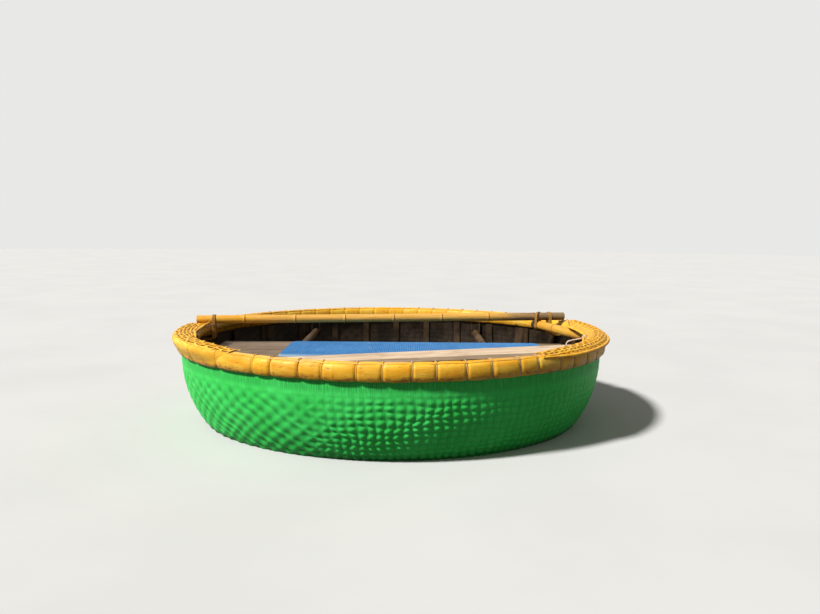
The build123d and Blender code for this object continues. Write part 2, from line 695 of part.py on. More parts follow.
with BuildPart() as seat_mat:
    mat_depth = SEAT_BACK_Y - SEAT_FRONT_Y - 2 * MAT_MARGIN
    with BuildSketch(Plane.XY.offset(BOARD_TOP + CLEAR)):
        with Locations(((MAT_LEFT_X + MAT_RIGHT_X) / 2, (SEAT_BACK_Y + SEAT_FRONT_Y) / 2)):
            RectangleRounded(MAT_RIGHT_X - MAT_LEFT_X, mat_depth, MAT_CORNER)
    extrude(amount=MAT_THICKNESS)
finish(seat_mat.part, "seat_mat")

# The plank's left end rests on the left bearer and its right end is tied up to the rim
plank_length = PLANK_RIGHT_X - PLANK_LEFT_X
plank_slope = degrees(atan2(PLANK_LIFT, PLANK_RIGHT_X + BEARER_X))
plank_base = BEARER_Z + BEARER_RADIUS + CLEAR
hole_along = PLANK_RIGHT_X + BEARER_X - PLANK_HOLE_INSET
plank_dir = Vector(cos(radians(plank_slope)), 0, sin(radians(plank_slope)))
plank_plane = Plane(
    origin=(-BEARER_X, plank_y, plank_base),
    x_dir=plank_dir,
    z_dir=(-sin(radians(plank_slope)), 0, cos(radians(plank_slope))),
)
with BuildPart() as front_plank:
    with BuildSketch(plank_plane):
        with Locations((PLANK_LEFT_X + BEARER_X + plank_length / 2, 0)):
            Rectangle(plank_length, PLANK_WIDTH)
        with Locations((hole_along, PLANK_WIDTH / 2 - PLANK_HOLE_INSET)):
            Circle(PLANK_HOLE, mode=Mode.SUBTRACT)
    extrude(amount=PLANK_THICKNESS)
    fillet([edge for edge in front_plank.edges() if edge.length > PLANK_WIDTH + 1], radius=PLANK_EDGE)
finish(front_plank.part, "front_plank")

# Tie: knotted under the plank, up through its hole and out to the rolled edge of the right cap
hole_middle = plank_plane.from_local_coords(
    (hole_along, PLANK_WIDTH / 2 - PLANK_HOLE_INSET, PLANK_THICKNESS / 2)
)
edge_start, edge_end = [rim_point(heading, inset) for heading, inset in RIGHT_CAP_EDGE[-2:]]
edge_dir = (edge_end - edge_start).normalized()
hole_floor = Vector(hole_middle.X, hole_middle.Y, 0)
to_edge = edge_start + edge_dir * (hole_floor - edge_start).dot(edge_dir) - hole_floor
tie_out = to_edge.normalized()
tie_plane = Plane(origin=hole_floor, x_dir=tie_out, z_dir=tie_out.cross(Vector(0, 0, 1)))
lean = (PLANK_THICKNESS / 2 + TIE_KNOT) * sin(radians(plank_slope))
knot_drop = sqrt((TIE_KNOT + CLEAR) ** 2 - (PLANK_HOLE - lean) ** 2)
knot_z = hole_middle.Z - PLANK_THICKNESS / 2 - knot_drop
tie_z = hole_middle.Z + PLANK_THICKNESS / 2 + TIE_RISE
edge_rise = CAP_SEAT + CAP_EDGE_RADIUS - tie_z
kept = 1 - (CAP_EDGE_RADIUS + CLEAR) / Vector(to_edge.length, edge_rise).length
with BuildPart() as plank_tie:
    with BuildLine(tie_plane) as tie_path:
        FilletPolyline(
            (0, knot_z),
            (0, tie_z),
            (to_edge.length * kept, tie_z + edge_rise * kept),
            radius=TIE_BEND,
        )
    with BuildSketch(Plane(origin=tie_path.line @ 0, z_dir=tie_path.line % 0)):
        Circle(TIE_RADIUS)
    sweep(path=tie_path.line)
    with Locations(tie_path.line @ 0):
        Sphere(TIE_KNOT)
finish(plank_tie.part, "plank_tie")
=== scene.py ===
"""Looks of the round basket boat: woven hull, lashed rim, cane caps, poles, seat, light and camera.

Metres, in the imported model's frame. A place on the rim is given as in the solids, by its heading
(the way the rim faces there, 0 is +X) and its inset (how far it lies inside the outermost face of
the rim). Travel is the distance along that face. Each piece is gathered by a Shape, whose points
also carry two values for the materials: lay, which unrolls the piece as (along, inward, up), and
marks, which is (bare, hollow, tone).
"""
import math

import bpy
import numpy as np
from mathutils import Matrix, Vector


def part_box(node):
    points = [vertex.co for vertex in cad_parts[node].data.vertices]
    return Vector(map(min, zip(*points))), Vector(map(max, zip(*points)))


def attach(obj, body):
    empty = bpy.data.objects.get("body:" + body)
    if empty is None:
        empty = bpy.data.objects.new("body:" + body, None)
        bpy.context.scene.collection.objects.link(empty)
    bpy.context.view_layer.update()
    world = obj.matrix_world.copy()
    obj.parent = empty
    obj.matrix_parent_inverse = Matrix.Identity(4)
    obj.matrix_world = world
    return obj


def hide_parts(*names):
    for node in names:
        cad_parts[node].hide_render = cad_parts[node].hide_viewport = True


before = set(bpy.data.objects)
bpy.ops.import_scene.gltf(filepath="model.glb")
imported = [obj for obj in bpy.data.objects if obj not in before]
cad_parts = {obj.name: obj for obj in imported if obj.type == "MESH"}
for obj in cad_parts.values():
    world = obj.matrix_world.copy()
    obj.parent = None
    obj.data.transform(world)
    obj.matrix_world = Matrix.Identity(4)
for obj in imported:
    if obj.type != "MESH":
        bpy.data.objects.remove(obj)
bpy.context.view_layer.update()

TURN = 2 * math.pi
UP = np.array([0.0, 0.0, 1.0])
FLAT = np.array([1.0, 1.0, 0.0])

# Outline of the rim
HALF_LENGTH = 1.050
HALF_WIDTH = 0.920
ARC_JOINT = math.radians(51.4)
END_CENTRE = (HALF_LENGTH - HALF_WIDTH) / (1 + math.tan(ARC_JOINT) - 1 / math.cos(ARC_JOINT))
SIDE_CENTRE = END_CENTRE * math.tan(ARC_JOINT)
END_RADIUS = HALF_LENGTH - END_CENTRE
SIDE_RADIUS = HALF_WIDTH + SIDE_CENTRE

# Basket
WALL_OUTSIDE = 0.0243
WALL = 0.009
WALL_INSIDE = WALL_OUTSIDE + WALL
GUNWALE_TOP = 0.592
GUNWALE_BOTTOM = 0.522
UPPER_BILGE_RADIUS = 0.520
LOWER_BILGE_RADIUS = 0.400
UPPER_BILGE_END = math.radians(34)
LOWER_BILGE_END = math.radians(80)
BOTTOM_CONE_WIDTH = 0.180
BILGE_STEP = UPPER_BILGE_RADIUS - LOWER_BILGE_RADIUS
LOWER_CENTRE_INSET = WALL_OUTSIDE + UPPER_BILGE_RADIUS - BILGE_STEP * math.cos(UPPER_BILGE_END)
BOTTOM_RISE = BOTTOM_CONE_WIDTH * math.tan(math.pi / 2 - LOWER_BILGE_END)
LOWER_CENTRE_Z = BOTTOM_RISE + LOWER_BILGE_RADIUS * math.sin(LOWER_BILGE_END)
UPPER_CENTRE_Z = LOWER_CENTRE_Z + BILGE_STEP * math.sin(UPPER_BILGE_END)

# The hull's skin, as lengths down from the top of the basket, and the inset of the crease where it ends
FLANK = GUNWALE_TOP - UPPER_CENTRE_Z
UPPER_BILGE = UPPER_BILGE_RADIUS * UPPER_BILGE_END
LOWER_BILGE = LOWER_BILGE_RADIUS * (LOWER_BILGE_END - UPPER_BILGE_END)
CONE = BOTTOM_CONE_WIDTH / math.cos(math.pi / 2 - LOWER_BILGE_END)
CREASE = FLANK + UPPER_BILGE + LOWER_BILGE + CONE
CREASE_INSET = LOWER_CENTRE_INSET - LOWER_BILGE_RADIUS * math.cos(LOWER_BILGE_END) + BOTTOM_CONE_WIDTH

# Weave: columns round the hull, rows down it, and the cells and samples of the flat bottom
COLUMNS = 164
SEAM_COLUMN = 24
HULL_ROWS = 28
ROW_PITCH = 0.030
WEAVE_TOP = 0.074
WEAVE_RELIEF = 0.0074
LINING_RELIEF = 0.0026
BOTTOM_RELIEF = 0.0018
BOTTOM_CELL = (0.031, 0.029)
BOTTOM_RINGS = 44
BOTTOM_COLUMNS = 380

# Rim: gunwales with a rounded face and a flat back, and the grooves of their lashings
OUTER_BACK = 0.0241
INNER_BACK = 0.0337
INNER_INSIDE = 0.0556
FACE_CROWN = 0.017
GROOVE = 0.0048
GROOVE_REACH = 0.0072
INNER_GROOVE_SHARE = 0.45
OUTER_SWELL = 0.0017
INNER_SWELL = 0.0006
SLACK_REACH = 0.034
UNEVENNESS = 0.0006
RING_STEP = 0.0036
NODE_PITCH = 0.315
NODE_REACH = 0.0045
NODE_RISE = 0.0008
FACE_ANGLES = np.linspace(-1.5707, 1.5707, 13)
OUTER_STRETCHES = {"right": (-40, 40), "far": (40, 140), "left": (140, 220), "near": (220, 320)}
INNER_STRETCHES = {"right": (-62, 62), "far": (62, 118), "left": (118, 242), "near": (242, 298)}
EDGE_CANES = ((0.0180, 0.5955), (0.0288, 0.5972), (0.0396, 0.5955))
EDGE_CANE_WIDTH = 0.0125
EDGE_CANE_HALF = 0.0036
LASH_HEADINGS = {
    "right": list(np.linspace(-47.7, 47.7, 14)),
    "far": list(np.linspace(53.8, 126.2, 16)),
    "left": list(np.linspace(132.6, 221.7, 12)),
    "near": [
        233.5, 243.3, 247.4, 253.4, 258.1, 264.6, 269.4, 274.9, 279.4, 285.2, 290.4, 296.5, 300.9, 306.9,
    ],
}
LASH_THICKNESS = 0.00242
LASH_SINK = 0.0007

# Woven caps: their span, their inner edge as (heading, inset) corners, and the run of their skin
# from outside over the rim and inward, as (inset, height). The left one also covers the rim's face
CAP_HEADINGS = {"right": (-58, 18.5), "left": (178.3, 238)}
CAP_EDGES = {
    "right": ((18.5, 0.058), (-1.6, 0.157), (-10.0, 0.134), (-22.4, 0.088), (-34.0, 0.063)),
    "left": ((178.3, 0.112), (185.0, 0.112), (192.0, 0.111), (202.0, 0.084), (213.0, 0.063)),
}
CAP_INSIDE = 0.0619
CAP_OUTSIDE = {
    "right": [(-0.0060, 0.5795), (-0.0063, 0.5920), (0.0030, 0.6020), (0.0160, 0.6078)],
    "left": [
        (0.0010, 0.5400), (-0.0060, 0.5530), (-0.0135, 0.5680), (-0.0178, 0.5830), (-0.0150, 0.5935),
        (-0.0040, 0.6010), (0.0120, 0.6070),
    ],
}
CAP_FLAT = [(0.0288, 0.6098), (0.0440, 0.6086), (CAP_INSIDE, 0.6062), (0.0800, 0.6060), (0.2000, 0.6060)]
CAP_TOP_INSET = {"right": 0.001, "left": -0.008}
CAP_PITCH = {"right": 0.0290, "left": 0.0440}
CAP_STRIP = 0.0165
CAP_WAVE = 0.0014
CAP_TAPER = 0.20
CAP_ROLL_Z = 0.6096
LINER_RINGS = 24

# Thick bamboos inside the rim's ends
END_POLE_RADIUS = 0.024
END_POLE_SKIN = END_POLE_RADIUS - 0.0004
END_POLE_INSET = 0.0832
END_POLE_Z = 0.576
END_POLE_BORE = 0.015
END_POLE_BORE_DEPTH = 0.05
END_POLE_NODE_RISE = 0.0015
LEFT_POLE_HEADINGS = (140, 200)
LEFT_POLE_NODE = 150
LEFT_POLE_INTERNODE = 0.29
RIGHT_POLE_FOOT = -8.6
RIGHT_POLE_CROSSING = 0.147
RIGHT_POLE_PAST = 0.034
RIGHT_POLE_NODE = 0.194
RIGHT_POLE_PALE_END = 0.026

# Thwart pole and the cane ties and slings
THWART_RADIUS = 0.0215
THWART_Y = 0.182
THWART_TURN = math.radians(7.7)
THWART_Z = 0.6218
THWART_INTERNODE = 0.260
THWART_ENDS_INSET = (0.038, 0.043)
THWART_BORE = 0.014
THWART_BORE_DEPTH = 0.055
THWART_NODE_RISE = 0.0019
POLE_SIDES = 22
POLE_CHAMFER = 0.0012
TIE_RADIUS = THWART_RADIUS + 0.0028
TIE_LEG = 0.0268
TIE_LEG_HEIGHTS = (0.55, 0.60)
TIE_FOOT_Z = 0.5192
TIE_FOOT_STEP = 0.0008
TIE_FIRST = 0.0155
TIE_PITCH = 0.0058
TIE_STRAND = (0.0046, 0.0038)
LOOP_STRAND = (0.0040, 0.0036)
LOOP_REACH = (0.0335, 0.0365)
LOOP_RISE = 0.0242
LOOP_DROP = 0.0262
SLING_STRAND = (0.0043, 0.0038)
SLING_PITCH = 0.0046
SLING_GAP = 0.0024
SLING_HALF = 0.007

# Ribbed mat, and the cord of the plank
MAT_CORNER = 0.030
MAT_BASE = 0.0012
MAT_COLUMNS = 17
RIB_PITCH = 0.0091
RIB_SAMPLES = 5
HOLE_TO_BOX = 0.012
CORD_RINGS = 110
CORD_PLY = 0.0031
CORD_TWIST = 0.016
CORD_RADIUS = 0.0015
CORD_BEND = 0.0085
KNOT_CORD = 0.0052
KNOT_TURNS = 2.6
KNOT_RADIUS = 0.0075

# Place of the water, which is the floor, and of the photograph's camera
WATERLINE = 0.178
FLOOR_EDGE_DEPTH = 0.0030
FLOOR_REACHES = (0.5, 2.0, 8.0, 40.0)
CAMERA_PLACE = (0.0887, -3.2313, 1.0715)
CAMERA_DROP = math.radians(6.53)
CAMERA_ROLL = math.radians(0.49)
CAMERA_LENS = 28.1
SUN_AWAY = (-5.89, -3.68, 7.19)

# Section of a cane strand
STRAND_ANGLES = (np.arange(6) + 0.5) * TURN / 6
STRAND_SWELL = 1 / math.cos(TURN / 12)


def triple(first, second, third):
    """Three values side by side for each point, such as its place, its lay or its marks."""
    return np.stack(np.broadcast_arrays(first, second, third), -1)


def unit(ways):
    """Directions, with their length made 1."""
    return ways / np.linalg.norm(ways, axis=-1, keepdims=True)


def run_of(path):
    """Distance along a path at each of its points."""
    return np.concatenate([[0], np.cumsum(np.linalg.norm(np.diff(path, axis=0), axis=1))])


def along_path(path, fine):
    """Points at distances along a path."""
    return np.stack([np.interp(fine, run_of(path), axis) for axis in path.T], -1)


def smooth_path(points, rounds=2, closed=False):
    """Cuts the corners of a path."""
    path = np.asarray(points, float)
    for _ in range(rounds):
        following = np.roll(path, -1, 0) if closed else path[1:]
        start = path if closed else path[:-1]
        cut = np.stack([0.75 * start + 0.25 * following, 0.25 * start + 0.75 * following], axis=1)
        cut = cut.reshape(-1, path.shape[1])
        path = cut if closed else np.vstack([path[:1], cut, path[-1:]])
    return path


def ripple(around, across, seed):
    """Smooth uneven values from about -1 to 1, the same after a lap of the boat."""
    total = 0.0
    for step, (laps, slope) in enumerate(((3, 5.0), (7, -9.0), (13, 14.0), (22, 21.0), (37, -33.0))):
        laps = laps + seed % 3
        total = total + np.sin(laps * around * TURN / LAP + slope * across + seed * (1.7 + 2.3 * step))
    return total / 3.0


def chance(numbers, seed):
    """Uneven values from 0 to 1, one for each whole number."""
    return np.modf(np.abs(np.sin(np.asarray(numbers, float) * 12.9898 + seed * 78.233) * 43758.5453))[0]


def ease(low, high, value):
    """Smooth step from 0 below low to 1 above high."""
    part = np.clip((value - low) / (high - low), 0, 1)
    return part * part * (3 - 2 * part)


def hump(gap, reach):
    """From 1 where the gap is 0 down to nearly 0 at twice the reach."""
    return np.exp(-((gap / reach) ** 2))


def from_nearest(value, pitch):
    """How far a value is past the nearest multiple of a pitch."""
    return (value + pitch / 2) % pitch - pitch / 2


def outline(heading, inset, height):
    """Points at headings on the boat's oval, moved inward by an inset, at a height."""
    turn = (heading + ARC_JOINT) % TURN
    right = turn < 2 * ARC_JOINT
    left = (turn >= math.pi) & (turn < math.pi + 2 * ARC_JOINT)
    far = (turn >= 2 * ARC_JOINT) & (turn < math.pi)
    x = np.where(right, END_CENTRE, np.where(left, -END_CENTRE, 0.0))
    y = np.where(right | left, 0.0, np.where(far, -SIDE_CENTRE, SIDE_CENTRE))
    reach = np.where(right | left, END_RADIUS, SIDE_RADIUS) - inset
    return triple(x + reach * np.cos(heading), y + reach * np.sin(heading), height)


def outward(heading):
    """The way that the rim faces at headings."""
    return triple(np.cos(heading), np.sin(heading), 0.0)


JOINT_HEADINGS = np.array([-ARC_JOINT, ARC_JOINT, math.pi - ARC_JOINT, math.pi + ARC_JOINT, TURN - ARC_JOINT])
ARC_RADII = np.array([END_RADIUS, SIDE_RADIUS, END_RADIUS, SIDE_RADIUS])
JOINT_TRAVEL = np.concatenate([[0], np.cumsum(np.diff(JOINT_HEADINGS) * ARC_RADII)])
LAP = float(JOINT_TRAVEL[-1])


def travel_at(heading):
    """Distance along the rim's outer face up to a heading."""
    laps, rest = np.divmod(np.asarray(heading, float) + ARC_JOINT, TURN)
    return laps * LAP + np.interp(rest - ARC_JOINT, JOINT_HEADINGS, JOINT_TRAVEL)


def heading_at(travel):
    """Heading at a distance along the rim's outer face."""
    laps, rest = np.divmod(np.asarray(travel, float), LAP)
    return laps * TURN + np.interp(rest, JOINT_TRAVEL, JOINT_HEADINGS)


def wrapped(place):
    """A grid of point numbers with its first column again at the end."""
    return np.hstack([place, place[:, :1]])


class Shape:
    """Gathers tubes, sheets and plates into the mesh of one piece."""

    def __init__(self):
        self.points, self.lay, self.marks, self.faces = [], [], [], []
        self.count = 0

    def add(self, points, lay=None, marks=0.0):
        """Adds a grid of points with their lay and marks, and gives the grid of their numbers."""
        lay = points if lay is None else lay
        for store, values in ((self.points, points), (self.lay, lay), (self.marks, marks)):
            store.append(np.broadcast_to(values, points.shape).reshape(-1, 3))
        first, self.count = self.count, self.count + len(self.points[-1])
        return np.arange(first, self.count).reshape(points.shape[:2])

    def skin(self, place):
        """Faces between the neighbours in a grid of point numbers."""
        quads = np.stack([place[:-1, :-1], place[:-1, 1:], place[1:, 1:], place[1:, :-1]], -1)
        self.faces += quads.reshape(-1, 4).tolist()

    def seam(self, fine, coarse, kept, order):
        """Faces from the edge of a fine grid to the edge of its back, which has only the kept places."""
        fine, coarse = fine.tolist(), coarse.tolist()
        for cell, (low, high) in enumerate(zip(kept[:-1], kept[1:])):
            self.faces.append((fine[low:high + 1] + [coarse[cell + 1], coarse[cell]])[::order])

    def tube(self, rings, lay=None, marks=0.0, closed=False):
        """A tube through rings of points; a closed one joins its last ring to its first."""
        place = self.add(rings, lay, marks)
        if closed:
            place = np.vstack([place, place[:1]])
        else:
            self.faces += [place[0, ::-1].tolist(), place[-1].tolist()]
        self.skin(wrapped(place))

    def make(self, name, material, sharp):
        """Makes the mesh and its object."""
        mesh = bpy.data.meshes.new(name)
        mesh.from_pydata(np.concatenate(self.points).tolist(), [], self.faces)
        for title, values in (("lay", self.lay), ("marks", self.marks)):
            store = mesh.attributes.new(title, "FLOAT_VECTOR", "POINT")
            store.data.foreach_set("vector", np.concatenate(values).ravel())
        mesh.shade_smooth()
        mesh.set_sharp_from_angle(angle=math.radians(sharp))
        mesh.materials.append(material)
        made = bpy.data.objects.new(name, mesh)
        bpy.context.scene.collection.objects.link(made)
        return made

    def piece(self, name, material, slot, *nodes, sharp=40):
        """Makes the piece, which stands for the CAD nodes named."""
        made = self.make(name, material, sharp)
        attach(made, "root")
        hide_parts(*nodes)


def strand(path, across, width, thickness, closed=False):
    """Rings of a flat strand along a path. across gives the direction of its width at each point."""
    along = np.roll(path, -1, 0) - np.roll(path, 1, 0) if closed else np.gradient(path, axis=0)
    up = unit(np.cross(along, across))
    across = np.broadcast_to(across, path.shape)
    wide = (np.cos(STRAND_ANGLES) * width / 2 * STRAND_SWELL)[:, None]
    thick = (np.sin(STRAND_ANGLES) * thickness / 2 * STRAND_SWELL)[:, None]
    return path[:, None] + across[:, None] * wide + up[:, None] * thick


# Parts of the marks. The hollow part mostly darkens recesses as painted shade
BARE, HOLLOW, TONE = range(3)


class Nodes:
    """A node tree in the making. Each call adds a node and gives the socket it ends in."""

    def __init__(self, tree):
        self.tree = tree

    def add(self, kind, values, output=0, **settings):
        node = self.tree.nodes.new("ShaderNode" + kind)
        for key, value in settings.items():
            setattr(node, key, value)
        for key, value in values.items():
            if isinstance(value, bpy.types.NodeSocket):
                self.tree.links.new(value, node.inputs[key])
            else:
                node.inputs[key].default_value = value
        return node.outputs[output]

    def lay(self, stretch=(1.0, 1.0, 1.0)):
        source = self.add("Attribute", {}, 1, attribute_name="lay")
        return self.add("VectorMath", {0: source, 1: stretch}, operation="MULTIPLY")

    def place(self, stretch=(1.0, 1.0, 1.0)):
        source = self.add("TexCoord", {}, 3)
        return self.add("VectorMath", {0: source, 1: stretch}, operation="MULTIPLY")

    def mark(self, which):
        return self.part(self.add("Attribute", {}, 1, attribute_name="marks"), which)

    def part(self, vector, which):
        return self.add("SeparateXYZ", {0: vector}, which)

    def noise(self, vector, scale=1.0, detail=3.0, rough=0.55, distortion=0.0):
        values = {"Vector": vector, "Scale": scale, "Detail": detail, "Roughness": rough}
        return self.add("TexNoise", values | {"Distortion": distortion})

    def step(self, value, low, high, to_low=0.0, to_high=1.0):
        values = {"Value": value, "From Min": low, "From Max": high, "To Min": to_low, "To Max": to_high}
        return self.add("MapRange", values, interpolation_type="SMOOTHSTEP")

    def math(self, operation, first, second):
        return self.add("Math", {0: first, 1: second}, operation=operation)

    def times(self, first, second):
        return self.math("MULTIPLY", first, second)

    def mix(self, share, first, second):
        colours = [item if isinstance(item, bpy.types.NodeSocket) else (*item, 1) for item in (first, second)]
        return self.add("Mix", {0: share, 6: colours[0], 7: colours[1]}, 2, data_type="RGBA")

    def seen(self):
        """1 for rays from the camera, straight or by way of gloss or glass, and 0 for light on its way."""
        rays = [self.add("LightPath", {}, f"Is {kind} Ray") for kind in ("Camera", "Glossy", "Transmission")]
        return self.math("MAXIMUM", self.math("MAXIMUM", rays[0], rays[1]), rays[2])


class Paint(Nodes):
    """A material in the making: a base colour, coats over it, its gloss and its relief."""

    def __init__(self, name, roughness=0.5, specular=0.5):
        self.material = bpy.data.materials.new(name)
        self.material.use_nodes = True
        super().__init__(self.material.node_tree)
        self.shader = self.tree.nodes["Principled BSDF"]
        self.shader.inputs["Roughness"].default_value = roughness
        self.shader.inputs["Specular IOR Level"].default_value = specular

    def base(self, share, first, second):
        self.colour = self.mix(share, first, second)

    def coat(self, share, colour):
        self.colour = self.mix(share, self.colour, colour)

    def done(self, gloss=None, *layers):
        """The material, with its gloss linked and layers of relief as (height, depth, strength)."""
        sockets = {"Base Color": self.colour}
        if gloss is not None:
            sockets["Roughness"] = gloss
        for height, depth, strength in layers:
            below = {"Normal": sockets["Normal"]} if "Normal" in sockets else {}
            bump = {"Height": height, "Distance": depth, "Strength": strength, **below}
            sockets["Normal"] = self.add("Bump", bump)
        for name, socket in sockets.items():
            self.tree.links.new(socket, self.shader.inputs[name])
        return self.material


def scaled(values, factor):
    """A colour or a stretch times a factor."""
    return tuple(value * factor for value in values)


def green_paint():
    """Enamel brushed over the weave, with canes under it: painted shade in the hollows, and ridges paler
    partly from thin paint and partly as a painted highlight.
    """
    paint = Paint("green_enamel", specular=0.12)
    broad = paint.noise(paint.lay(), 3.2, 4)
    streaks = paint.noise(paint.lay((60.0, 7.0, 7.0)), 1.0, 4, 0.6)
    canes = paint.noise(paint.lay((300.0, 9.0, 9.0)), 1.0, 2)
    grain = paint.noise(paint.lay(), 260, 3, 0.65)
    hollow = paint.mark(HOLLOW)
    band = paint.step(hollow, -0.5, -1.0)
    paint.base(paint.step(broad, 0.35, 0.65), (0.042, 0.64, 0.100), (0.066, 0.77, 0.148))
    paint.coat(paint.step(streaks, 0.45, 0.75, 0, 0.45), (0.095, 0.82, 0.180))
    paint.coat(paint.step(grain, 0.55, 0.75, 0, 0.30), (0.010, 0.30, 0.035))
    # painted shade: the enamel is darkened in the weave's hollows
    paint.coat(paint.step(hollow, 0.45, 1.0, 0, 0.55), (0.008, 0.24, 0.032))
    # paler ridges: partly thin, worn paint and partly a painted highlight on the tops of the bumps
    thin = paint.times(paint.step(hollow, 0.35, 0.05), paint.step(grain, 0.5, 0.68, 0, 0.45))
    paint.coat(thin, (0.15, 0.84, 0.24))
    height = paint.part(paint.place(), 2)
    wet = paint.times(paint.step(height, 0.215, 0.182), paint.step(broad, 0.3, 0.6, 0.3, 0.8))
    paint.coat(wet, (0.012, 0.10, 0.022))
    paint.coat(paint.times(band, paint.step(canes, 0.44, 0.60, 0.35, 0)), (0.008, 0.21, 0.030))
    fine = paint.times(canes, paint.math("ADD", paint.times(band, 1.6), 0.30))
    return paint.done(paint.step(grain, 0.3, 0.7, 0.38, 0.58), (fine, 0.0030, 0.9), (grain, 0.0007, 0.7))


def painted_bamboo(name, worn, dirt, roughness=0.42, darker_below=False, ochre=0.0):
    """Yellow paint on split bamboo or cane: long fibres, dirt specks, bare worn patches, and painted shade in
    the hollows.
    """
    paint = Paint(name, specular=0.28)
    fibres = paint.noise(paint.lay((9.0, 420.0, 420.0)), 1.0, 4, 0.6)
    broad = paint.noise(paint.lay((7.0, 26.0, 26.0)), 1.0, 4, 0.6)
    specks = paint.noise(paint.lay((38.0, 120.0, 120.0)), 1.0, 5, 0.7)
    grained = paint.step(fibres, 0.35, 0.7)
    paint.base(paint.step(broad, 0.35, 0.68), (0.88, 0.41, 0.014), (0.95, 0.55, 0.038))
    other_tone = paint.mix(paint.step(broad, 0.3, 0.7), (0.78, 0.31, 0.011), (0.96, 0.62, 0.075))
    paint.coat(paint.mark(TONE), other_tone)
    paint.coat(paint.step(fibres, 0.52, 0.75, 0, 0.40), (0.94, 0.60, 0.13))
    paint.coat(ochre, paint.mix(grained, (0.36, 0.17, 0.030), (0.56, 0.31, 0.075)))
    patch = paint.times(paint.step(broad, 0.54, 0.66), paint.step(specks, 0.5, 0.62, 0, worn * 2))
    paint.coat(patch, (0.80, 0.52, 0.19))
    soil = paint.times(paint.step(specks, 0.56, 0.70), paint.step(fibres, 0.35, 0.6, 0.3, dirt * 2))
    paint.coat(soil, (0.25, 0.085, 0.012))
    if darker_below:
        # darker, deeper orange towards the bottom edge, with dark blots there
        height = paint.part(paint.lay(), 2)
        paint.coat(paint.step(height, 0.552, 0.530, 0, 0.5), (0.66, 0.27, 0.012))
        blots = paint.noise(paint.lay((24.0, 60.0, 60.0)), 1.0, 5, 0.75)
        low = paint.times(paint.step(height, 0.558, 0.530), paint.step(blots, 0.49, 0.60, 0, 0.85))
        paint.coat(low, (0.24, 0.095, 0.022))
    paint.coat(paint.mark(BARE), paint.mix(grained, (0.50, 0.31, 0.12), (0.74, 0.53, 0.28)))
    # painted shade: grooves, gaps and seams darkened through the hollow mark; on the gunwales it also darkens
    # the node rings
    paint.coat(paint.step(paint.mark(HOLLOW), 0.30, 1.0, 0, 0.9), (0.12, 0.036, 0.008))
    gloss = paint.step(specks, 0.3, 0.75, roughness - 0.1, roughness + 0.2)
    return paint.done(gloss, (fibres, 0.0009, 0.8), (specks, 0.0008, 0.5))


def thwart_bamboo():
    """The thwart: yellow paint at its left end, ochre in the middle, grey and weathered at the right."""
    paint = Paint("thwart_bamboo", specular=0.3)
    fibres = paint.noise(paint.lay((7.0, 380.0, 380.0)), 1.0, 4, 0.6)
    broad = paint.noise(paint.lay((5.0, 22.0, 22.0)), 1.0, 4, 0.65)
    specks = paint.noise(paint.lay((45.0, 90.0, 90.0)), 1.0, 4, 0.7)
    grained = paint.step(fibres, 0.35, 0.7)
    uneven = paint.times(paint.math("SUBTRACT", broad, 0.5), 0.5)
    along = paint.math("ADD", paint.part(paint.lay(), 0), uneven)
    yellow = paint.mix(paint.step(broad, 0.4, 0.65), (0.74, 0.34, 0.022), (0.86, 0.47, 0.06))
    ochre = paint.mix(grained, (0.66, 0.33, 0.050), (0.86, 0.50, 0.120))
    paint.base(paint.step(along, -0.78, -0.66), yellow, ochre)
    grey = paint.mix(grained, (0.165, 0.105, 0.052), (0.36, 0.245, 0.125))
    paint.coat(paint.step(along, 0.52, 0.80), grey)
    paint.coat(paint.step(specks, 0.58, 0.72, 0, 0.6), (0.17, 0.075, 0.022))
    paint.coat(paint.mark(BARE), (0.80, 0.60, 0.32))
    # painted shade inside the bores, and a dark line past each node
    paint.coat(paint.step(paint.mark(HOLLOW), 0.2, 1.0, 0, 0.85), (0.10, 0.035, 0.010))
    return paint.done(paint.step(broad, 0.3, 0.7, 0.33, 0.6), (fibres, 0.0009, 0.8), (specks, 0.0006, 0.5))


def tarred(name, light, unrolled=False):
    """Bamboo under old tar and resin: near black, brown where it is worn."""
    paint = Paint(name, specular=0.2)
    source = paint.lay if unrolled else paint.place
    fibres = paint.noise(source((30.0, 320.0, 30.0)), 1.0, 3, 0.6)
    broad = paint.noise(source(), 9.0, 4, 0.6)
    brown = scaled((0.115, 0.068, 0.032), light)
    paint.base(paint.step(broad, 0.35, 0.7), scaled((0.030, 0.019, 0.011), light), brown)
    paint.coat(paint.step(fibres, 0.5, 0.75, 0, 0.5), scaled(brown, 1.7))
    # painted shade: near black in the hollows of the woven lining
    paint.coat(paint.step(paint.mark(HOLLOW), 0.3, 0.95, 0, 0.8), (0.006, 0.004, 0.003))
    return paint.done(paint.step(broad, 0.3, 0.7, 0.35, 0.65), (fibres, 0.0010, 0.8))


def sawn_wood(name, dark, light, soil, stretch):
    """Bare board: grain along its length, rings, scuffs and soil."""
    paint = Paint(name)
    bend = paint.noise(paint.place(scaled(stretch, 0.12)), 1.0, 2)
    rings = paint.noise(paint.place(stretch), 1.0, 5, 0.6, 0.6)
    pores = paint.noise(paint.place(scaled(stretch, 7)), 1.0, 2)
    broad = paint.noise(paint.place(), 7.0, 4, 0.6)
    paint.base(paint.step(rings, 0.32, 0.68), dark, light)
    paint.coat(paint.step(pores, 0.58, 0.75, 0, 0.5), dark)
    paint.coat(paint.times(paint.step(broad, 0.48, 0.72, 0, 0.8), paint.step(bend, 0.2, 0.7)), soil)
    return paint.done(paint.step(broad, 0.3, 0.7, 0.5, 0.75), (rings, 0.0008, 0.6), (pores, 0.0005, 0.6))


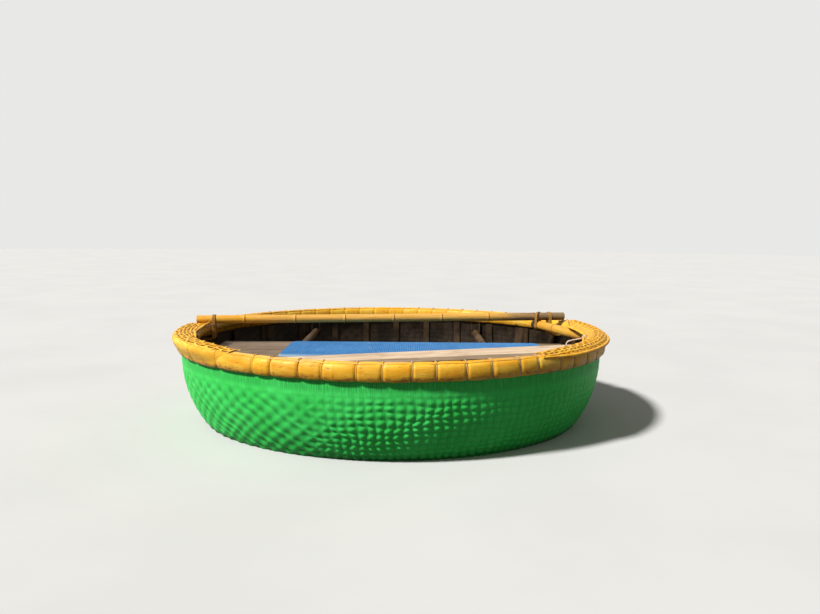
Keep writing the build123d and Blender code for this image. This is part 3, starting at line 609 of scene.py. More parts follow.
def blue_plastic():
    """Ribbed blue plastic sheet with painted shade in its grooves, scuffed ribs and dust."""
    paint = Paint("blue_ribbed_plastic", specular=0.05)
    broad = paint.noise(paint.lay(), 6.0, 4, 0.6)
    scuffs = paint.noise(paint.lay((30.0, 5.0, 5.0)), 1.0, 5, 0.7)
    hollow = paint.mark(HOLLOW)
    paint.base(paint.step(broad, 0.3, 0.7), (0.022, 0.165, 0.450), (0.044, 0.230, 0.550))
    # painted shade in the grooves between the ribs
    paint.coat(paint.step(hollow, 0.4, 1.0, 0, 0.5), (0.020, 0.110, 0.290))
    paint.coat(paint.step(hollow, 0.30, 0.05, 0, 0.30), (0.18, 0.36, 0.54))
    paint.coat(paint.mark(TONE), (0.34, 0.50, 0.60))
    dust = paint.times(paint.step(scuffs, 0.52, 0.72), paint.step(broad, 0.4, 0.65, 0.05, 0.3))
    paint.coat(dust, (0.42, 0.50, 0.58))
    return paint.done(paint.step(scuffs, 0.35, 0.7, 0.42, 0.62), (scuffs, 0.0003, 0.5))


def cord_fibre():
    """Pale twisted cord, faded to pink and grey."""
    paint = Paint("faded_cord", roughness=0.8, specular=0.2)
    fibres = paint.noise(paint.place(), 900, 2)
    broad = paint.noise(paint.place(), 60, 3)
    paint.base(paint.step(broad, 0.35, 0.65), (0.70, 0.48, 0.40), (0.82, 0.68, 0.60))
    paint.coat(paint.step(fibres, 0.45, 0.7, 0, 0.5), (0.40, 0.26, 0.21))
    return paint.done(None, (fibres, 0.0004, 0.8))


def pale_floor():
    """Reads as near white to the camera, takes the boat's shadow, and throws little light on the hull."""
    paint = Paint("pale_floor", roughness=0.85, specular=0.2)
    uneven = paint.noise(paint.place(), 1.3, 3)
    pale = paint.mix(paint.step(uneven, 0.3, 0.7), (0.612, 0.622, 0.632), (0.642, 0.652, 0.662))
    paint.base(paint.seen(), (0.050, 0.058, 0.056), pale)
    return paint.done()


GREEN = green_paint()
RIM_PAINT = painted_bamboo("yellow_painted_bamboo", 0.35, 0.45, darker_below=True)
CANE_PAINT = painted_bamboo("yellow_painted_cane", 0.45, 0.5, 0.48)
LASH_PAINT = painted_bamboo("lashing_cane", 0.3, 0.6, 0.5)
POLE_PAINT = painted_bamboo("ochre_pole_bamboo", 0.3, 0.5, ochre=0.6)
TIE_CANE = painted_bamboo("weathered_tie_cane", 0.1, 1.0, 0.6, ochre=1.0)
THWART_SKIN = thwart_bamboo()
LINING = tarred("tarred_weave", 0.30, unrolled=True)
RIB_SKIN = tarred("tarred_ribs", 0.5)
BEARER_SKIN = tarred("bearer_bamboo", 0.9)
SEAT_WOOD = sawn_wood(
    "worn_seat_boards", (0.105, 0.068, 0.042), (0.25, 0.175, 0.11), (0.06, 0.045, 0.03), (3.0, 45.0, 45.0),
)
PLANK_WOOD = sawn_wood(
    "pale_plank", (0.50, 0.35, 0.23), (0.76, 0.60, 0.43), (0.34, 0.25, 0.17), (3.0, 50.0, 50.0),
)
MAT_BLUE = blue_plastic()
CORD = cord_fibre()
KEPT_NODES = {
    "ribs_crosswise": RIB_SKIN,
    "ribs_lengthwise": RIB_SKIN,
    "seat_bearer_left": BEARER_SKIN,
    "seat_bearer_right": BEARER_SKIN,
    "seat_board_back": SEAT_WOOD,
    "seat_board_front": SEAT_WOOD,
    "front_plank": PLANK_WOOD,
}
for node, material in KEPT_NODES.items():
    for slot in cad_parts[node].material_slots:
        slot.material = material


def hull_skin(path, off):
    """Inset and height of the hull at a length down from its top, off inside the outer face."""
    path = np.asarray(path, float)
    upper = np.clip((path - FLANK) / UPPER_BILGE_RADIUS, 0, UPPER_BILGE_END)
    lower = np.clip((path - FLANK - UPPER_BILGE) / LOWER_BILGE_RADIUS, 0, LOWER_BILGE_END - UPPER_BILGE_END)
    cone = np.clip(path - FLANK - UPPER_BILGE - LOWER_BILGE, 0, None)
    angle = upper + lower
    inset = WALL_OUTSIDE + UPPER_BILGE_RADIUS * (1 - np.cos(upper)) + cone * math.sin(LOWER_BILGE_END)
    inset = inset + LOWER_BILGE_RADIUS * (np.cos(upper) - np.cos(angle)) * (lower > 0)
    height = GUNWALE_TOP - np.minimum(path, FLANK) - UPPER_BILGE_RADIUS * np.sin(upper)
    height = height - LOWER_BILGE_RADIUS * (np.sin(angle) - np.sin(upper)) - cone * math.cos(LOWER_BILGE_END)
    return inset + off * np.cos(angle), height + off * np.sin(angle)


def weave_place(column, row):
    """Travel and path of a place in the weave, whose strands wander a little."""
    travel, path = column / COLUMNS * LAP, WEAVE_TOP + row * ROW_PITCH
    loose = ease(0.0, 3.0, row)
    column = column + 0.26 * loose * ripple(travel, path * 2.2, 1)
    row = row + 0.22 * loose * ripple(travel, path * 1.6, 2)
    return column / COLUMNS * LAP, WEAVE_TOP + row * ROW_PITCH


def cell_chance(column, row, seed):
    """Uneven values from 0 to 1, one for each cell of the weave."""
    return chance(column % COLUMNS + 251 * row, seed)


def weave_rise(column, row, leftness):
    """Height of the weave from 0 to 1. Dents in every second cell at the left turn into rows of bumps."""
    across, down = math.pi * column, math.pi * row
    each = cell_chance(np.floor(column), np.floor(row), 3)
    bump = np.abs(np.sin(across) * np.sin(down)) ** 1.3 * (0.78 + 0.22 * each)
    slant = np.cos(across) * np.cos(down) + 0.22 * np.sin(across) * np.sin(down)
    each = cell_chance(np.rint(column), np.rint(row), 5)
    dented = 0.5 - 0.5 * slant * (0.80 + 0.20 * each)
    return bump + (dented - bump) * leftness


def woven_wall(shape, first_column, columns, samples, off, relief, back_off, band_end, flat_from):
    """A closed stretch of wall: a fine face, plain down to band_end and woven below, and a coarse back."""
    across, down = samples
    edge_rows = np.linspace(-WEAVE_TOP / ROW_PITCH, 0, 3)[:-1]
    row = np.concatenate([edge_rows, np.arange(HULL_ROWS * down + 1) / down])
    kept = np.concatenate([[0, 1], np.arange(2, len(row), down)])
    kept_across = np.arange(0, columns * across + 1, across)
    column, row = np.meshgrid(first_column + np.arange(columns * across + 1) / across, row)
    travel, path = weave_place(column, row)
    path = np.clip(path, 0, CREASE)
    path[-1] = CREASE
    heading = heading_at(travel)
    leftness = ease(0.02, 0.40, -np.cos(heading))
    woven = ease(band_end - 0.055, band_end + 0.02, path)
    rise = 0.72 * (1 - woven) + weave_rise(column, row, leftness) * woven
    depth = relief * (0.42 - rise) * (1 - ease(flat_from, CREASE - 0.02, path))
    depth = depth * (1 - 0.45 * ease(0.15, 0.6, np.cos(heading))) * (0.72 + 0.43 * ease(0.14, 0.36, path))
    # hollow darkens the paint in the weave's hollows as painted shade, more at the left end; below zero it
    # marks the plain band under the rim
    hollow = np.where(woven > 0.5, (1 - rise) * (0.72 + 0.28 * leftness), woven - 1.0)
    inset, height = hull_skin(path, off + depth)
    lay = triple(travel, path, 0.0)
    face = shape.add(outline(heading, inset, np.maximum(height, 0.0002)), lay, triple(0.0, hollow, 0.0))
    shape.skin(face)
    coarse = np.ix_(kept, kept_across)
    back = shape.add(outline(heading[coarse], *hull_skin(path[coarse], back_off)), lay[coarse])
    shape.skin(back.T)
    for edge, order in ((0, -1), (-1, 1)):
        shape.seam(face[edge], back[edge], kept_across, order)
        shape.seam(face[:, edge], back[:, edge], kept, -order)


def woven_plate(shape, low, high, woven_below):
    """The flat plate of the bottom: an oval disc, woven on the side that shows."""
    heading = heading_at(np.arange(BOTTOM_COLUMNS) / BOTTOM_COLUMNS * LAP)
    on_side = np.abs(np.cos(heading)) < math.cos(ARC_JOINT)
    side_reach = SIDE_RADIUS - SIDE_CENTRE / np.maximum(np.abs(np.sin(heading)), 0.1)
    reach = np.where(on_side, side_reach, END_RADIUS) - CREASE_INSET
    shares = np.linspace(0, 0.94, BOTTOM_RINGS)[:, None]
    woven = outline(heading, CREASE_INSET + shares * reach, low)
    plain = woven[::6, ::2].copy()
    pillow = np.prod(np.abs(np.sin(math.pi * woven[..., :2] / BOTTOM_CELL)), -1) ** 0.6
    hollow = (1 - pillow) * ease(0.0, 0.10, shares)
    woven[..., 2] = low + BOTTOM_RELIEF * hollow if woven_below else high - BOTTOM_RELIEF * hollow
    plain[..., 2] = high if woven_below else low
    face = shape.add(woven, marks=triple(0.0, hollow, 0.0))
    back = shape.add(plain)
    turned = 1 if woven_below else -1
    for place, order in ((face, -turned), (back, turned)):
        shape.skin(wrapped(place)[::order])
        shape.faces.append(place[-1, ::order].tolist())
    shape.seam(wrapped(face)[0], wrapped(back)[0], range(0, BOTTOM_COLUMNS + 1, 2), turned)


for place, start in (("far", 0), ("near", COLUMNS // 2)):
    hull = Shape()
    woven_wall(hull, start + SEAM_COLUMN, COLUMNS // 2, (7, 5), 0.0004, WEAVE_RELIEF, 0.0043, 0.150, 0.80)
    hull.piece(f"woven_hull_{place}", GREEN, "painted_weave", "hull_basket", sharp=75)

bottom = Shape()
woven_plate(bottom, 0.0, 0.0043, True)
bottom.piece("woven_bottom", GREEN, "painted_weave", "hull_basket", sharp=75)

lining = Shape()
woven_wall(lining, SEAM_COLUMN, COLUMNS, (3, 3), WALL - 0.0002, -LINING_RELIEF, 0.0048, 0.110, 0.86)
lining.piece("woven_lining", LINING, "raw_bamboo", "hull_basket", sharp=75)

lining_floor = Shape()
woven_plate(lining_floor, 0.0048, WALL - 0.0003, False)
lining_floor.piece("woven_lining_floor", LINING, "raw_bamboo", "hull_basket", sharp=75)


LASH_TRAVEL = np.sort(travel_at(np.radians(sum(LASH_HEADINGS.values(), []))) % LAP)


def pinch(travel, reach):
    """From 0 between lashings to 1 under a lashing."""
    gaps = from_nearest(np.asarray(travel)[..., None] - LASH_TRAVEL, LAP)
    return hump(np.abs(gaps).min(-1), reach)


def node_ridge(travel, seed):
    """From 0 to 1 on the raised rings of a bamboo."""
    shifted = travel + 0.11 * seed + 0.02 * np.sin(travel * 3 + seed)
    return hump(from_nearest(shifted, NODE_PITCH), NODE_REACH)


def fallen_back(angle):
    """How far a bamboo's rounded face has fallen back at an angle up or down from its middle."""
    return FACE_CROWN * (1 - np.cos(angle) ** 0.85)


def gunwale(name, node, stretch, back, face, seed):
    """Split bamboo with a flat back and a rounded face, drawn in where each lashing goes round it."""
    start, end = stretch
    first, last = travel_at(np.radians([start + 0.05, end - 0.05]))
    travel = np.linspace(first, last, round((last - first) / RING_STEP))[:, None]
    outer = face < back
    way = 1 if outer else -1
    tight = pinch(travel, GROOVE_REACH) * (1 if outer else INNER_GROOVE_SHARE)
    slack = 1 - pinch(travel, SLACK_REACH)
    ridge = node_ridge(travel, seed)
    uneven = UNEVENNESS * ripple(travel, 0.3 * seed, seed)
    swollen = (OUTER_SWELL if outer else INNER_SWELL) * slack + NODE_RISE * ridge
    front = face + way * (GROOVE * tight - swollen + uneven)
    low = GUNWALE_BOTTOM + 0.0016 * tight - 0.0008 * slack + uneven
    high = GUNWALE_TOP - 0.0010 - 0.0030 * tight
    inset = np.hstack([front + way * fallen_back(FACE_ANGLES), back + 0 * low, back + 0 * low])
    height = np.hstack([(low + high) / 2 + (high - low) / 2 * np.sin(FACE_ANGLES), high - 0.001, low + 0.001])
    inset, height = inset[:, ::way], height[:, ::way]
    tone = chance(np.searchsorted(LASH_TRAVEL, travel % LAP) + 17 * seed, 3) * (1 - tight)
    # hollow: painted shade in the grooves under the lashings, and darker node rings
    hollow = np.maximum(0.95 * tight**1.5, 0.35 * ridge)
    shape = Shape()
    rings = outline(heading_at(travel), inset, height)
    shape.tube(rings, triple(travel, inset + seed, height), triple(0.0, hollow, tone))
    shape.piece(name, RIM_PAINT, "rim_bamboo", node)


for seed, (place, stretch) in enumerate(OUTER_STRETCHES.items()):
    gunwale(f"outer_bamboo_{place}", f"outer_gunwale_{place}", stretch, OUTER_BACK, 0.0, seed + 1)
for seed, (place, stretch) in enumerate(INNER_STRETCHES.items()):
    gunwale(f"inner_bamboo_{place}", f"inner_gunwale_{place}", stretch, INNER_BACK, INNER_INSIDE, seed + 5)

# Three split canes that cover the basket's edge, all round the rim
edge_canes = Shape()
travel = np.linspace(0, LAP, 780, endpoint=False)[:, None]
angle = np.arange(8) * TURN / 8
for number, (middle, top) in enumerate(EDGE_CANES):
    wander = 0.0012 * ripple(travel, number * 0.7, number + 2)
    lift = top - 0.0022 * pinch(travel, 0.016) + 0.0006 * ripple(travel, 1.1 * number, number + 9)
    inset = middle + wander - EDGE_CANE_WIDTH / 2 * np.cos(angle)
    height = lift - EDGE_CANE_HALF + EDGE_CANE_HALF * np.sin(angle)
    worn = np.clip(0.2 + 0.5 * ripple(travel, number * 1.3, number + 4), 0, 0.5)
    rings = outline(heading_at(travel), inset, height)
    # hollow: painted shade where the lashings press into the canes
    marks = triple(worn, 0.55 * pinch(travel, 0.010), 0.0)
    edge_canes.tube(rings, triple(travel, inset + number, height), marks, closed=True)
edge_canes.piece("rim_edge_canes", CANE_PAINT, "rim_bamboo", "rim_filler_far", "rim_filler_near")

# A turn of cane round both gunwales, as corners in (inset, height)
LASH_ANGLES = np.radians([-72, -50, -25, 0, 25, 50, 72])
LASH_HEIGHTS = (GUNWALE_TOP + GUNWALE_BOTTOM) / 2 + (GUNWALE_TOP - GUNWALE_BOTTOM) / 2 * np.sin(LASH_ANGLES)
LASH_DEPTHS = GROOVE + fallen_back(LASH_ANGLES) - LASH_SINK
LASH_LOOP = smooth_path(
    [(WALL_OUTSIDE, 0.5205), *zip(LASH_DEPTHS, LASH_HEIGHTS)]
    + [(0.0150, 0.5950), (0.0220, 0.5986), (0.0360, 0.5986), (0.0430, 0.5950)]
    + [*zip(INNER_INSIDE - LASH_DEPTHS[::-1], LASH_HEIGHTS[::-1]), (WALL_INSIDE, 0.5205)],
    rounds=1, closed=True,
)


def lash_turn(shape, heading, width, lean, marks, seed):
    """One strand of cane round the rim at a heading, leaning a little along it."""
    inset, height = LASH_LOOP.T
    climb = (height - GUNWALE_BOTTOM) / (GUNWALE_TOP - GUNWALE_BOTTOM) - 0.5
    own = heading + (lean * climb + 0.0005 * np.sin(9 * climb + seed)) / END_RADIUS
    path = outline(own, inset, height)
    rings = strand(path, triple(-np.sin(own), np.cos(own), 0.0), width, LASH_THICKNESS, closed=True)
    run = run_of(path)[:, None] + seed
    lay = triple(run, np.cos(STRAND_ANGLES) * width, np.sin(STRAND_ANGLES) * 0.001 + seed)
    shape.tube(rings, lay, marks, closed=True)


for place, headings in LASH_HEADINGS.items():
    turns = Shape()
    for number, heading in enumerate(np.radians(headings)):
        seed = number + 31 * len(place)
        right_share = float(ease(-0.15, 0.30, math.cos(heading)))
        # painted shade of the gaps beside the lashings: the cane is darkened through its hollow mark, most
        # away from the right end and less on the far side
        painted_gap_shade = (0.25 if place == "far" else 0.62) * (1 - right_share) * (0.6 + 0.6 * chance(seed, 9))
        count = 2 if chance(seed, 2) < 0.35 else 1
        for turn in range(count):
            aside = (turn - (count - 1) / 2) * 0.0044 / END_RADIUS
            lean = 0.004 * (chance(seed, 4 + turn) - 0.5) + 0.002 * turn
            bare = np.clip(right_share * (0.95 - 0.4 * turn) + 0.12 * chance(seed, 6), 0, 1)
            width = 0.0036 + 0.0012 * chance(seed, 7 + turn)
            lash_turn(turns, heading + aside, width, lean, (bare, painted_gap_shade, 0.3), seed + 0.37 * turn)
    turns.piece(f"rim_lashing_{place}", LASH_PAINT, "rim_lashing", f"rim_lashings_{place}")


def wound_roll(shape, path, run, sideways, radius, pitch, seed):
    """A rolled border: a bundle of cane with one strip wound round it."""
    run = run[:, None]
    angle = np.arange(12) * TURN / 12
    turn = np.modf(run / pitch + angle / TURN + 0.06 * np.sin(run * 23 + seed))[0]
    seam = hump(np.minimum(turn, 1 - turn), 0.09)
    size = radius[:, None] * (0.97 + 0.03 * np.sin(run * 31 + seed)) - 0.0013 * seam
    section = np.cos(angle)[:, None] * sideways[:, None] + np.sin(angle)[:, None] * UP
    rings = path[:, None] + size[..., None] * section
    lay = triple(radius[:, None] * angle + seed, run, 0.0)
    # hollow: painted shade in the seam between turns of the strip
    shape.tube(rings, lay, triple(0.0, 0.75 * seam, chance(np.floor(run / pitch), seed)))


def edge_corners(side, height):
    """Corners of a cap's inner edge, at a height."""
    headings, insets = np.array(CAP_EDGES[side]).T
    return outline(np.radians(headings), insets, height)


class Cap:
    """Cane woven over one end of the rim: strips along it, wraps over them, borders and a liner."""

    def __init__(self, side):
        self.side, self.right = side, side == "right"
        self.run = smooth_path(CAP_OUTSIDE[side] + CAP_FLAT, rounds=3)
        self.length = run_of(self.run)
        self.first, self.last = travel_at(np.radians(CAP_HEADINGS[side]))
        self.wraps = int((self.last - self.first) / CAP_PITCH[side])
        self.pitch = (self.last - self.first) / self.wraps
        inward = slice(int(np.argmin(self.run[:, 0])), None)
        self.top, self.rim_end = np.interp(
            (CAP_TOP_INSET[side], CAP_INSIDE), self.run[inward, 0], self.length[inward],
        )
        self.start = 0.0 if self.right else self.top
        self.trace_edge()
        shape = Shape()
        self.strips(shape)
        self.cross_wraps(shape)
        self.outer_border(shape)
        self.inner_border(shape)
        shape.piece(f"woven_cap_{side}", CANE_PAINT, "rim_cane", f"cane_cap_{side}", sharp=60)
        self.liner()

    def point(self, where, lift):
        """Inset and height at a length along the cap's run, lifted off its skin."""
        inset, height = (np.interp(where, self.length, axis) for axis in self.run.T)
        ahead, behind = (
            [np.interp(where + step, self.length, axis) for axis in self.run.T] for step in (0.002, -0.002)
        )
        out = unit(np.stack([behind[1] - ahead[1], ahead[0] - behind[0]], -1))
        return inset + out[..., 0] * lift, height + out[..., 1] * lift

    def taper(self, travel):
        """From 1 on the cap to 0 at its near end, where it sinks into the rim."""
        return ease(0.0, CAP_TAPER, travel - self.first if self.right else self.last - travel)

    def laid(self, travel, where, lift):
        """Inset and height of a place on the cap, drawn in and lowered where the cap tapers."""
        inset, height = self.point(where, lift)
        gone = 1 - self.taper(travel)
        aside = 1.05 * np.maximum(-inset, 0) + 0.0068 * ease(0.034, 0.0, inset)
        return inset + gone * aside, height - gone * 0.0075

    def trace_edge(self):
        """Points along the cap's inner edge, with its corners rounded."""
        corners = edge_corners(self.side, CAP_ROLL_Z)
        path = [corners[0]]
        for before, corner, after in zip(corners[:-2], corners[1:-1], corners[2:]):
            near, far = (
                corner + unit(other - corner) * min(0.030, 0.45 * np.linalg.norm(other - corner))
                for other in (before, after)
            )
            path += [near, corner, far]
        path = smooth_path(path + [corners[-1]], rounds=3)
        length = run_of(path)[-1]
        self.edge_run = np.linspace(0, length, round(length / 0.0035))
        self.edge = along_path(path, self.edge_run)
        x, y = (self.edge[:, :2] - (END_CENTRE if self.right else -END_CENTRE, 0)).T
        heading = np.arctan2(y, x)
        travel = travel_at(heading if self.right else heading % TURN)
        order = np.argsort(travel)
        self.edge_travel, self.edge_inset = travel[order], (END_RADIUS - np.hypot(x, y))[order]

    def run_end(self, travel):
        """Length of the cap's run up to its inner edge."""
        inset = np.interp(travel, self.edge_travel, self.edge_inset) - 0.004
        return self.rim_end + np.maximum(inset - CAP_INSIDE, 0)

    def strips(self, shape):
        """Strips of cane along the rim, in and out of the wraps."""
        steps = np.arange(0.2, self.wraps - 0.19, 0.2 if self.right else 0.125)
        for strip in range(int((self.run_end(self.edge_travel).max() - self.start) / CAP_STRIP)):
            middle = self.start + (strip + 0.5) * CAP_STRIP
            there = self.run_end(self.first + steps * self.pitch) > middle + 0.3 * CAP_STRIP
            step = steps[there][::-1, None]
            travel = self.first + step * self.pitch
            wave = np.cos(math.pi * (step - 0.5 + strip))
            tight = self.right and not self.top < middle < self.top + 0.055
            width = CAP_STRIP * (0.94 if tight else 0.50) * (1 + 0.12 * ripple(travel, strip, strip + 7))
            drift = (0.05 if tight else 0.13) * CAP_STRIP * ripple(travel, strip, strip + 1)
            where = middle + drift + width / 2 * np.cos(STRAND_ANGLES)
            inset, height = self.laid(travel, where, CAP_WAVE * wave + 0.0010 * np.sin(STRAND_ANGLES))
            rings = outline(heading_at(travel), inset, height)
            # hollow: painted shade where each strip passes under a wrap
            marks = triple(0.0, (0.25 if tight else 0.5) * (0.5 - 0.5 * wave), chance(strip, 4))
            shape.tube(rings, triple(travel, inset + strip, height), marks)

    def cross_wraps(self, shape):
        """Wraps of cane from outside over the rim to the inner edge, wide and tight at both borders."""
        for wrap in range(self.wraps):
            middle = self.first + (wrap + 0.5 + 0.12 * (chance(wrap, 11) - 0.5)) * self.pitch
            end = float(self.run_end(middle))
            where = np.linspace(self.start, end, max(12, round((end - self.start) / 0.0042)))[:, None]
            past = where - self.top
            wave = -np.cos(math.pi * (wrap + (where - self.start) / CAP_STRIP - 0.5))
            wide = np.maximum(1 - ease(-0.004, 0.004, past), ease(0.050, 0.060, past)) if self.right else 0.0
            width = self.pitch * ((0.36 + 0.12 * chance(wrap, 13)) * (1 - wide) + 0.90 * wide)
            lean = 0.30 * (past - 0.02) / 0.04 * (1 - wide) * (0.6 + 0.5 * chance(wrap, 12))
            travel = middle + self.pitch * np.clip(lean, -0.35, 0.35)
            aside = width / 2 * np.cos(STRAND_ANGLES)
            inset, height = self.laid(travel, where, CAP_WAVE * wave + 0.0009 * np.sin(STRAND_ANGLES))
            rings = outline(heading_at(np.clip(travel + aside, self.first, self.last)), inset, height)
            # hollow: painted shade where each wrap passes under a strip
            hollow = 0.5 * (0.5 - 0.5 * wave) * (1 - 0.6 * wide)
            marks = triple(0.35 * (chance(wrap, 14) > 0.8), hollow, chance(wrap, 15))
            shape.tube(rings, triple(where + 3.1 * wrap, travel + aside, inset + wrap), marks)

    def outer_border(self, shape):
        """A wound roll outside the rim on the right, and a smooth grooved face on the left."""
        travel = np.linspace(self.first, self.last, round((self.last - self.first) / 0.0035))
        heading = heading_at(travel)
        if self.right:
            gone = 1 - self.taper(travel)
            centre = outline(heading, -0.0112 + 0.0170 * gone, 0.5840 + 0.004 * gone)
            wound_roll(shape, centre, travel - self.first, outward(heading), 0.0079 - 0.0040 * gone, 0.021, 1)
            return
        travel, heading = travel[:, None], heading[:, None]
        where = np.linspace(0, self.top + 0.006, 15)
        tight = pinch(travel, 0.0060)
        lift = np.repeat([0.0006, -0.0050], 15) - 0.0032 * tight
        inset, height = self.laid(travel, np.concatenate([where, where[::-1]])[None], lift)
        rings = outline(heading, inset, height)
        # hollow: painted shade in the grooves at the lashings
        shape.tube(rings, triple(travel, inset + 3, height), triple(0.0, 0.6 * tight, 0.7))

    def inner_border(self, shape):
        """A wound roll along the inner edge, which sinks into the rim at its near end."""
        way = np.gradient(self.edge, axis=0) * FLAT
        sideways = unit(np.cross(way, UP)) * (-1 if self.right else 1)
        gone = 1 - ease(0.0, 0.060, self.edge_run[-1] - self.edge_run)
        path = self.edge - 0.0090 * gone[:, None] * UP
        wound_roll(shape, path, self.edge_run, sideways, 0.0059 - 0.0030 * gone, 0.018, 2)

    def liner(self):
        """A thin sheet of cane under the weave, which closes its gaps; it is darkened as painted shade seen
        through them.
        """
        shape = Shape()
        length = self.last - self.first
        travel = np.linspace(self.first + 0.012, self.last - 0.012, max(8, int(length / 0.012)))[:, None]
        shares = np.linspace(0.01, 0.99, LINER_RINGS)
        where = self.start + np.concatenate([shares, shares[::-1]]) * (self.run_end(travel) - self.start)
        inset, height = self.laid(travel, where, -np.repeat([0.0024, 0.0034], LINER_RINGS))
        rings = outline(heading_at(travel), inset, height)
        # the hollow mark darkens the liner as painted shade in the weave's gaps
        shape.tube(rings, rings, (0.0, 0.78 if self.right else 0.95, 0.2))
        shape.piece(f"cap_liner_{self.side}", CANE_PAINT, "rim_cane", f"cane_cap_{self.side}", sharp=60)


for side in CAP_HEADINGS:
    Cap(side)


def bamboo_rows(length, radius, bore, bore_depth, nodes, node_rise):
    """Places along a round bamboo with a hollow at each end, as (place, radius, hollow mark) rows."""
    # the hollow mark darkens the inside of each bore as painted shade, and a line in the groove past each
    # node
    mouth = [(bore_depth, bore, 1.0), (0.004, bore, 1.0)]
    mouth += [(0.0005, bore + 0.001, 0.3), (0.0, radius - 0.002, 0.0)]
    outside = [
        (place, radius, 0.0) for place in (POLE_CHAMFER, *np.arange(0.02, length - 0.01, 0.018))
        if all(abs(place - node) > 0.013 for node in nodes)
    ]
    for node in nodes:
        for step in (-0.012, -0.006, -0.0035, -0.001, 0.0015, 0.004, 0.007, 0.012):
            rise = node_rise * hump(step, 0.005) - 0.0010 * hump(step - 0.005, 0.0022)
            outside.append((node + step, radius + rise, 0.9 * hump(step - 0.004, 0.003)))
    far_end = [(length - place, size, mark) for place, size, mark in mouth[::-1]]
    return np.array(mouth + sorted(outside) + [(length - POLE_CHAMFER, radius, 0.0)] + far_end)


def round_pole(rows, middle, sideways, along, seed, pale_end=0.0):
    """A round pole by its rows: middle gives its axis there, and sideways a direction square to it."""
    places, radii, hollow = rows.T
    angle = np.arange(POLE_SIDES) * TURN / POLE_SIDES
    lobes = 1 + 0.012 * np.sin(2 * angle + seed + 3 * places[:, None])
    sideways = np.broadcast_to(sideways, middle.shape)[:, None]
    section = np.cos(angle)[:, None] * sideways + np.sin(angle)[:, None] * UP
    size = radii[:, None]
    rings = middle[:, None] + (size * lobes)[..., None] * section
    lay = triple((along + places)[:, None], size * np.cos(angle), size * np.sin(angle) + seed)
    end_face = np.where(places < pale_end, 0.9, 0.0)
    end_face[[1, 2, 3, -4, -3, -2]] = 1.0
    hollow[[2, 3, -4, -3]] = 0.0
    shape = Shape()
    shape.tube(rings, lay, triple(end_face, hollow, 0.3)[:, None])
    return shape


# The thwart runs along its own axis, askew across the rim
ALONG = np.array([math.cos(THWART_TURN), math.sin(THWART_TURN), 0.0])
ASIDE = np.cross(UP, ALONG)
THWART_MIDDLE = np.array([0.0, THWART_Y, THWART_Z])


def rim_crossing(aside, inset, sign):
    """How far along the thwart a line beside its axis crosses the rim at an inset, at one end."""
    start = THWART_MIDDLE + aside * ASIDE - np.array([sign * END_CENTRE, 0, THWART_Z])
    middle = float(start @ ALONG)
    return -middle + sign * math.sqrt(middle**2 - float(start @ start) + (END_RADIUS - inset) ** 2)


THWART_LEFT, THWART_RIGHT = (rim_crossing(0, inset, sign) for inset, sign in zip(THWART_ENDS_INSET, (-1, 1)))
first_node, last_node = (math.ceil(end / THWART_INTERNODE) for end in (THWART_LEFT, THWART_RIGHT))
nodes = np.arange(first_node, last_node) * THWART_INTERNODE - THWART_LEFT
rows = bamboo_rows(
    THWART_RIGHT - THWART_LEFT, THWART_RADIUS, THWART_BORE, THWART_BORE_DEPTH, nodes, THWART_NODE_RISE,
)
thwart = round_pole(rows, THWART_MIDDLE + (THWART_LEFT + rows[:, :1]) * ALONG, -ASIDE, THWART_LEFT, 0.0)
thwart.piece("thwart_bamboo", THWART_SKIN, "thwart_bamboo", "thwart_pole", sharp=50)


def end_pole_rows(length, nodes):
    return bamboo_rows(length, END_POLE_SKIN, END_POLE_BORE, END_POLE_BORE_DEPTH, nodes, END_POLE_NODE_RISE)


# Left thick bamboo, bent along the rim
pole_first, pole_last = travel_at(np.radians(LEFT_POLE_HEADINGS))
shrink = (END_RADIUS - END_POLE_INSET) / END_RADIUS
node = (travel_at(math.radians(LEFT_POLE_NODE)) - pole_first) * shrink
rows = end_pole_rows((pole_last - pole_first) * shrink, [node, node + LEFT_POLE_INTERNODE])
heading = heading_at(pole_first + rows[:, 0] / shrink)
left_pole = round_pole(rows, outline(heading, END_POLE_INSET, END_POLE_Z), -outward(heading), pole_first, 2.0)
left_pole.piece("end_bamboo_left", POLE_PAINT, "rim_bamboo", "end_pole_left", sharp=50)

# Right thick bamboo: straight, from under the thwart to the rim, with a pale band at its far end
crossing = THWART_MIDDLE + (THWART_RIGHT - RIGHT_POLE_CROSSING) * ALONG
crossing[2] = END_POLE_Z
pole_foot = outline(math.radians(RIGHT_POLE_FOOT), END_POLE_INSET, END_POLE_Z)
pole_way = unit(pole_foot - crossing)
pole_start = crossing - RIGHT_POLE_PAST * pole_way
rows = end_pole_rows(float(np.linalg.norm(pole_foot - pole_start)), [RIGHT_POLE_NODE])
# less painted shade inside this pole's bore
rows[:, 2] *= np.where(rows[:, 1] < 1.2 * END_POLE_BORE, 0.35, 1)
pole_middle = pole_start + rows[:, :1] * pole_way
right_pole = round_pole(rows, pole_middle, -np.cross(UP, pole_way), 0.0, 3.0, pale_end=RIGHT_POLE_PALE_END)
right_pole.piece("end_bamboo_right", POLE_PAINT, "rim_bamboo", "end_pole_right", sharp=50)


def tie_strand(shape, path, across, size, number):
    """One strand of a cane tie or sling."""
    rings = strand(path, across, *size)
    shape.tube(rings, rings * 3 + number, (0.0, 0.1, 0.0))


def three_turns(shape, path, across, pitch, size):
    """Three strands of cane side by side along a path."""
    for number in range(3):
        tie_strand(shape, path + (number - 1) * pitch * across, across, size, number)


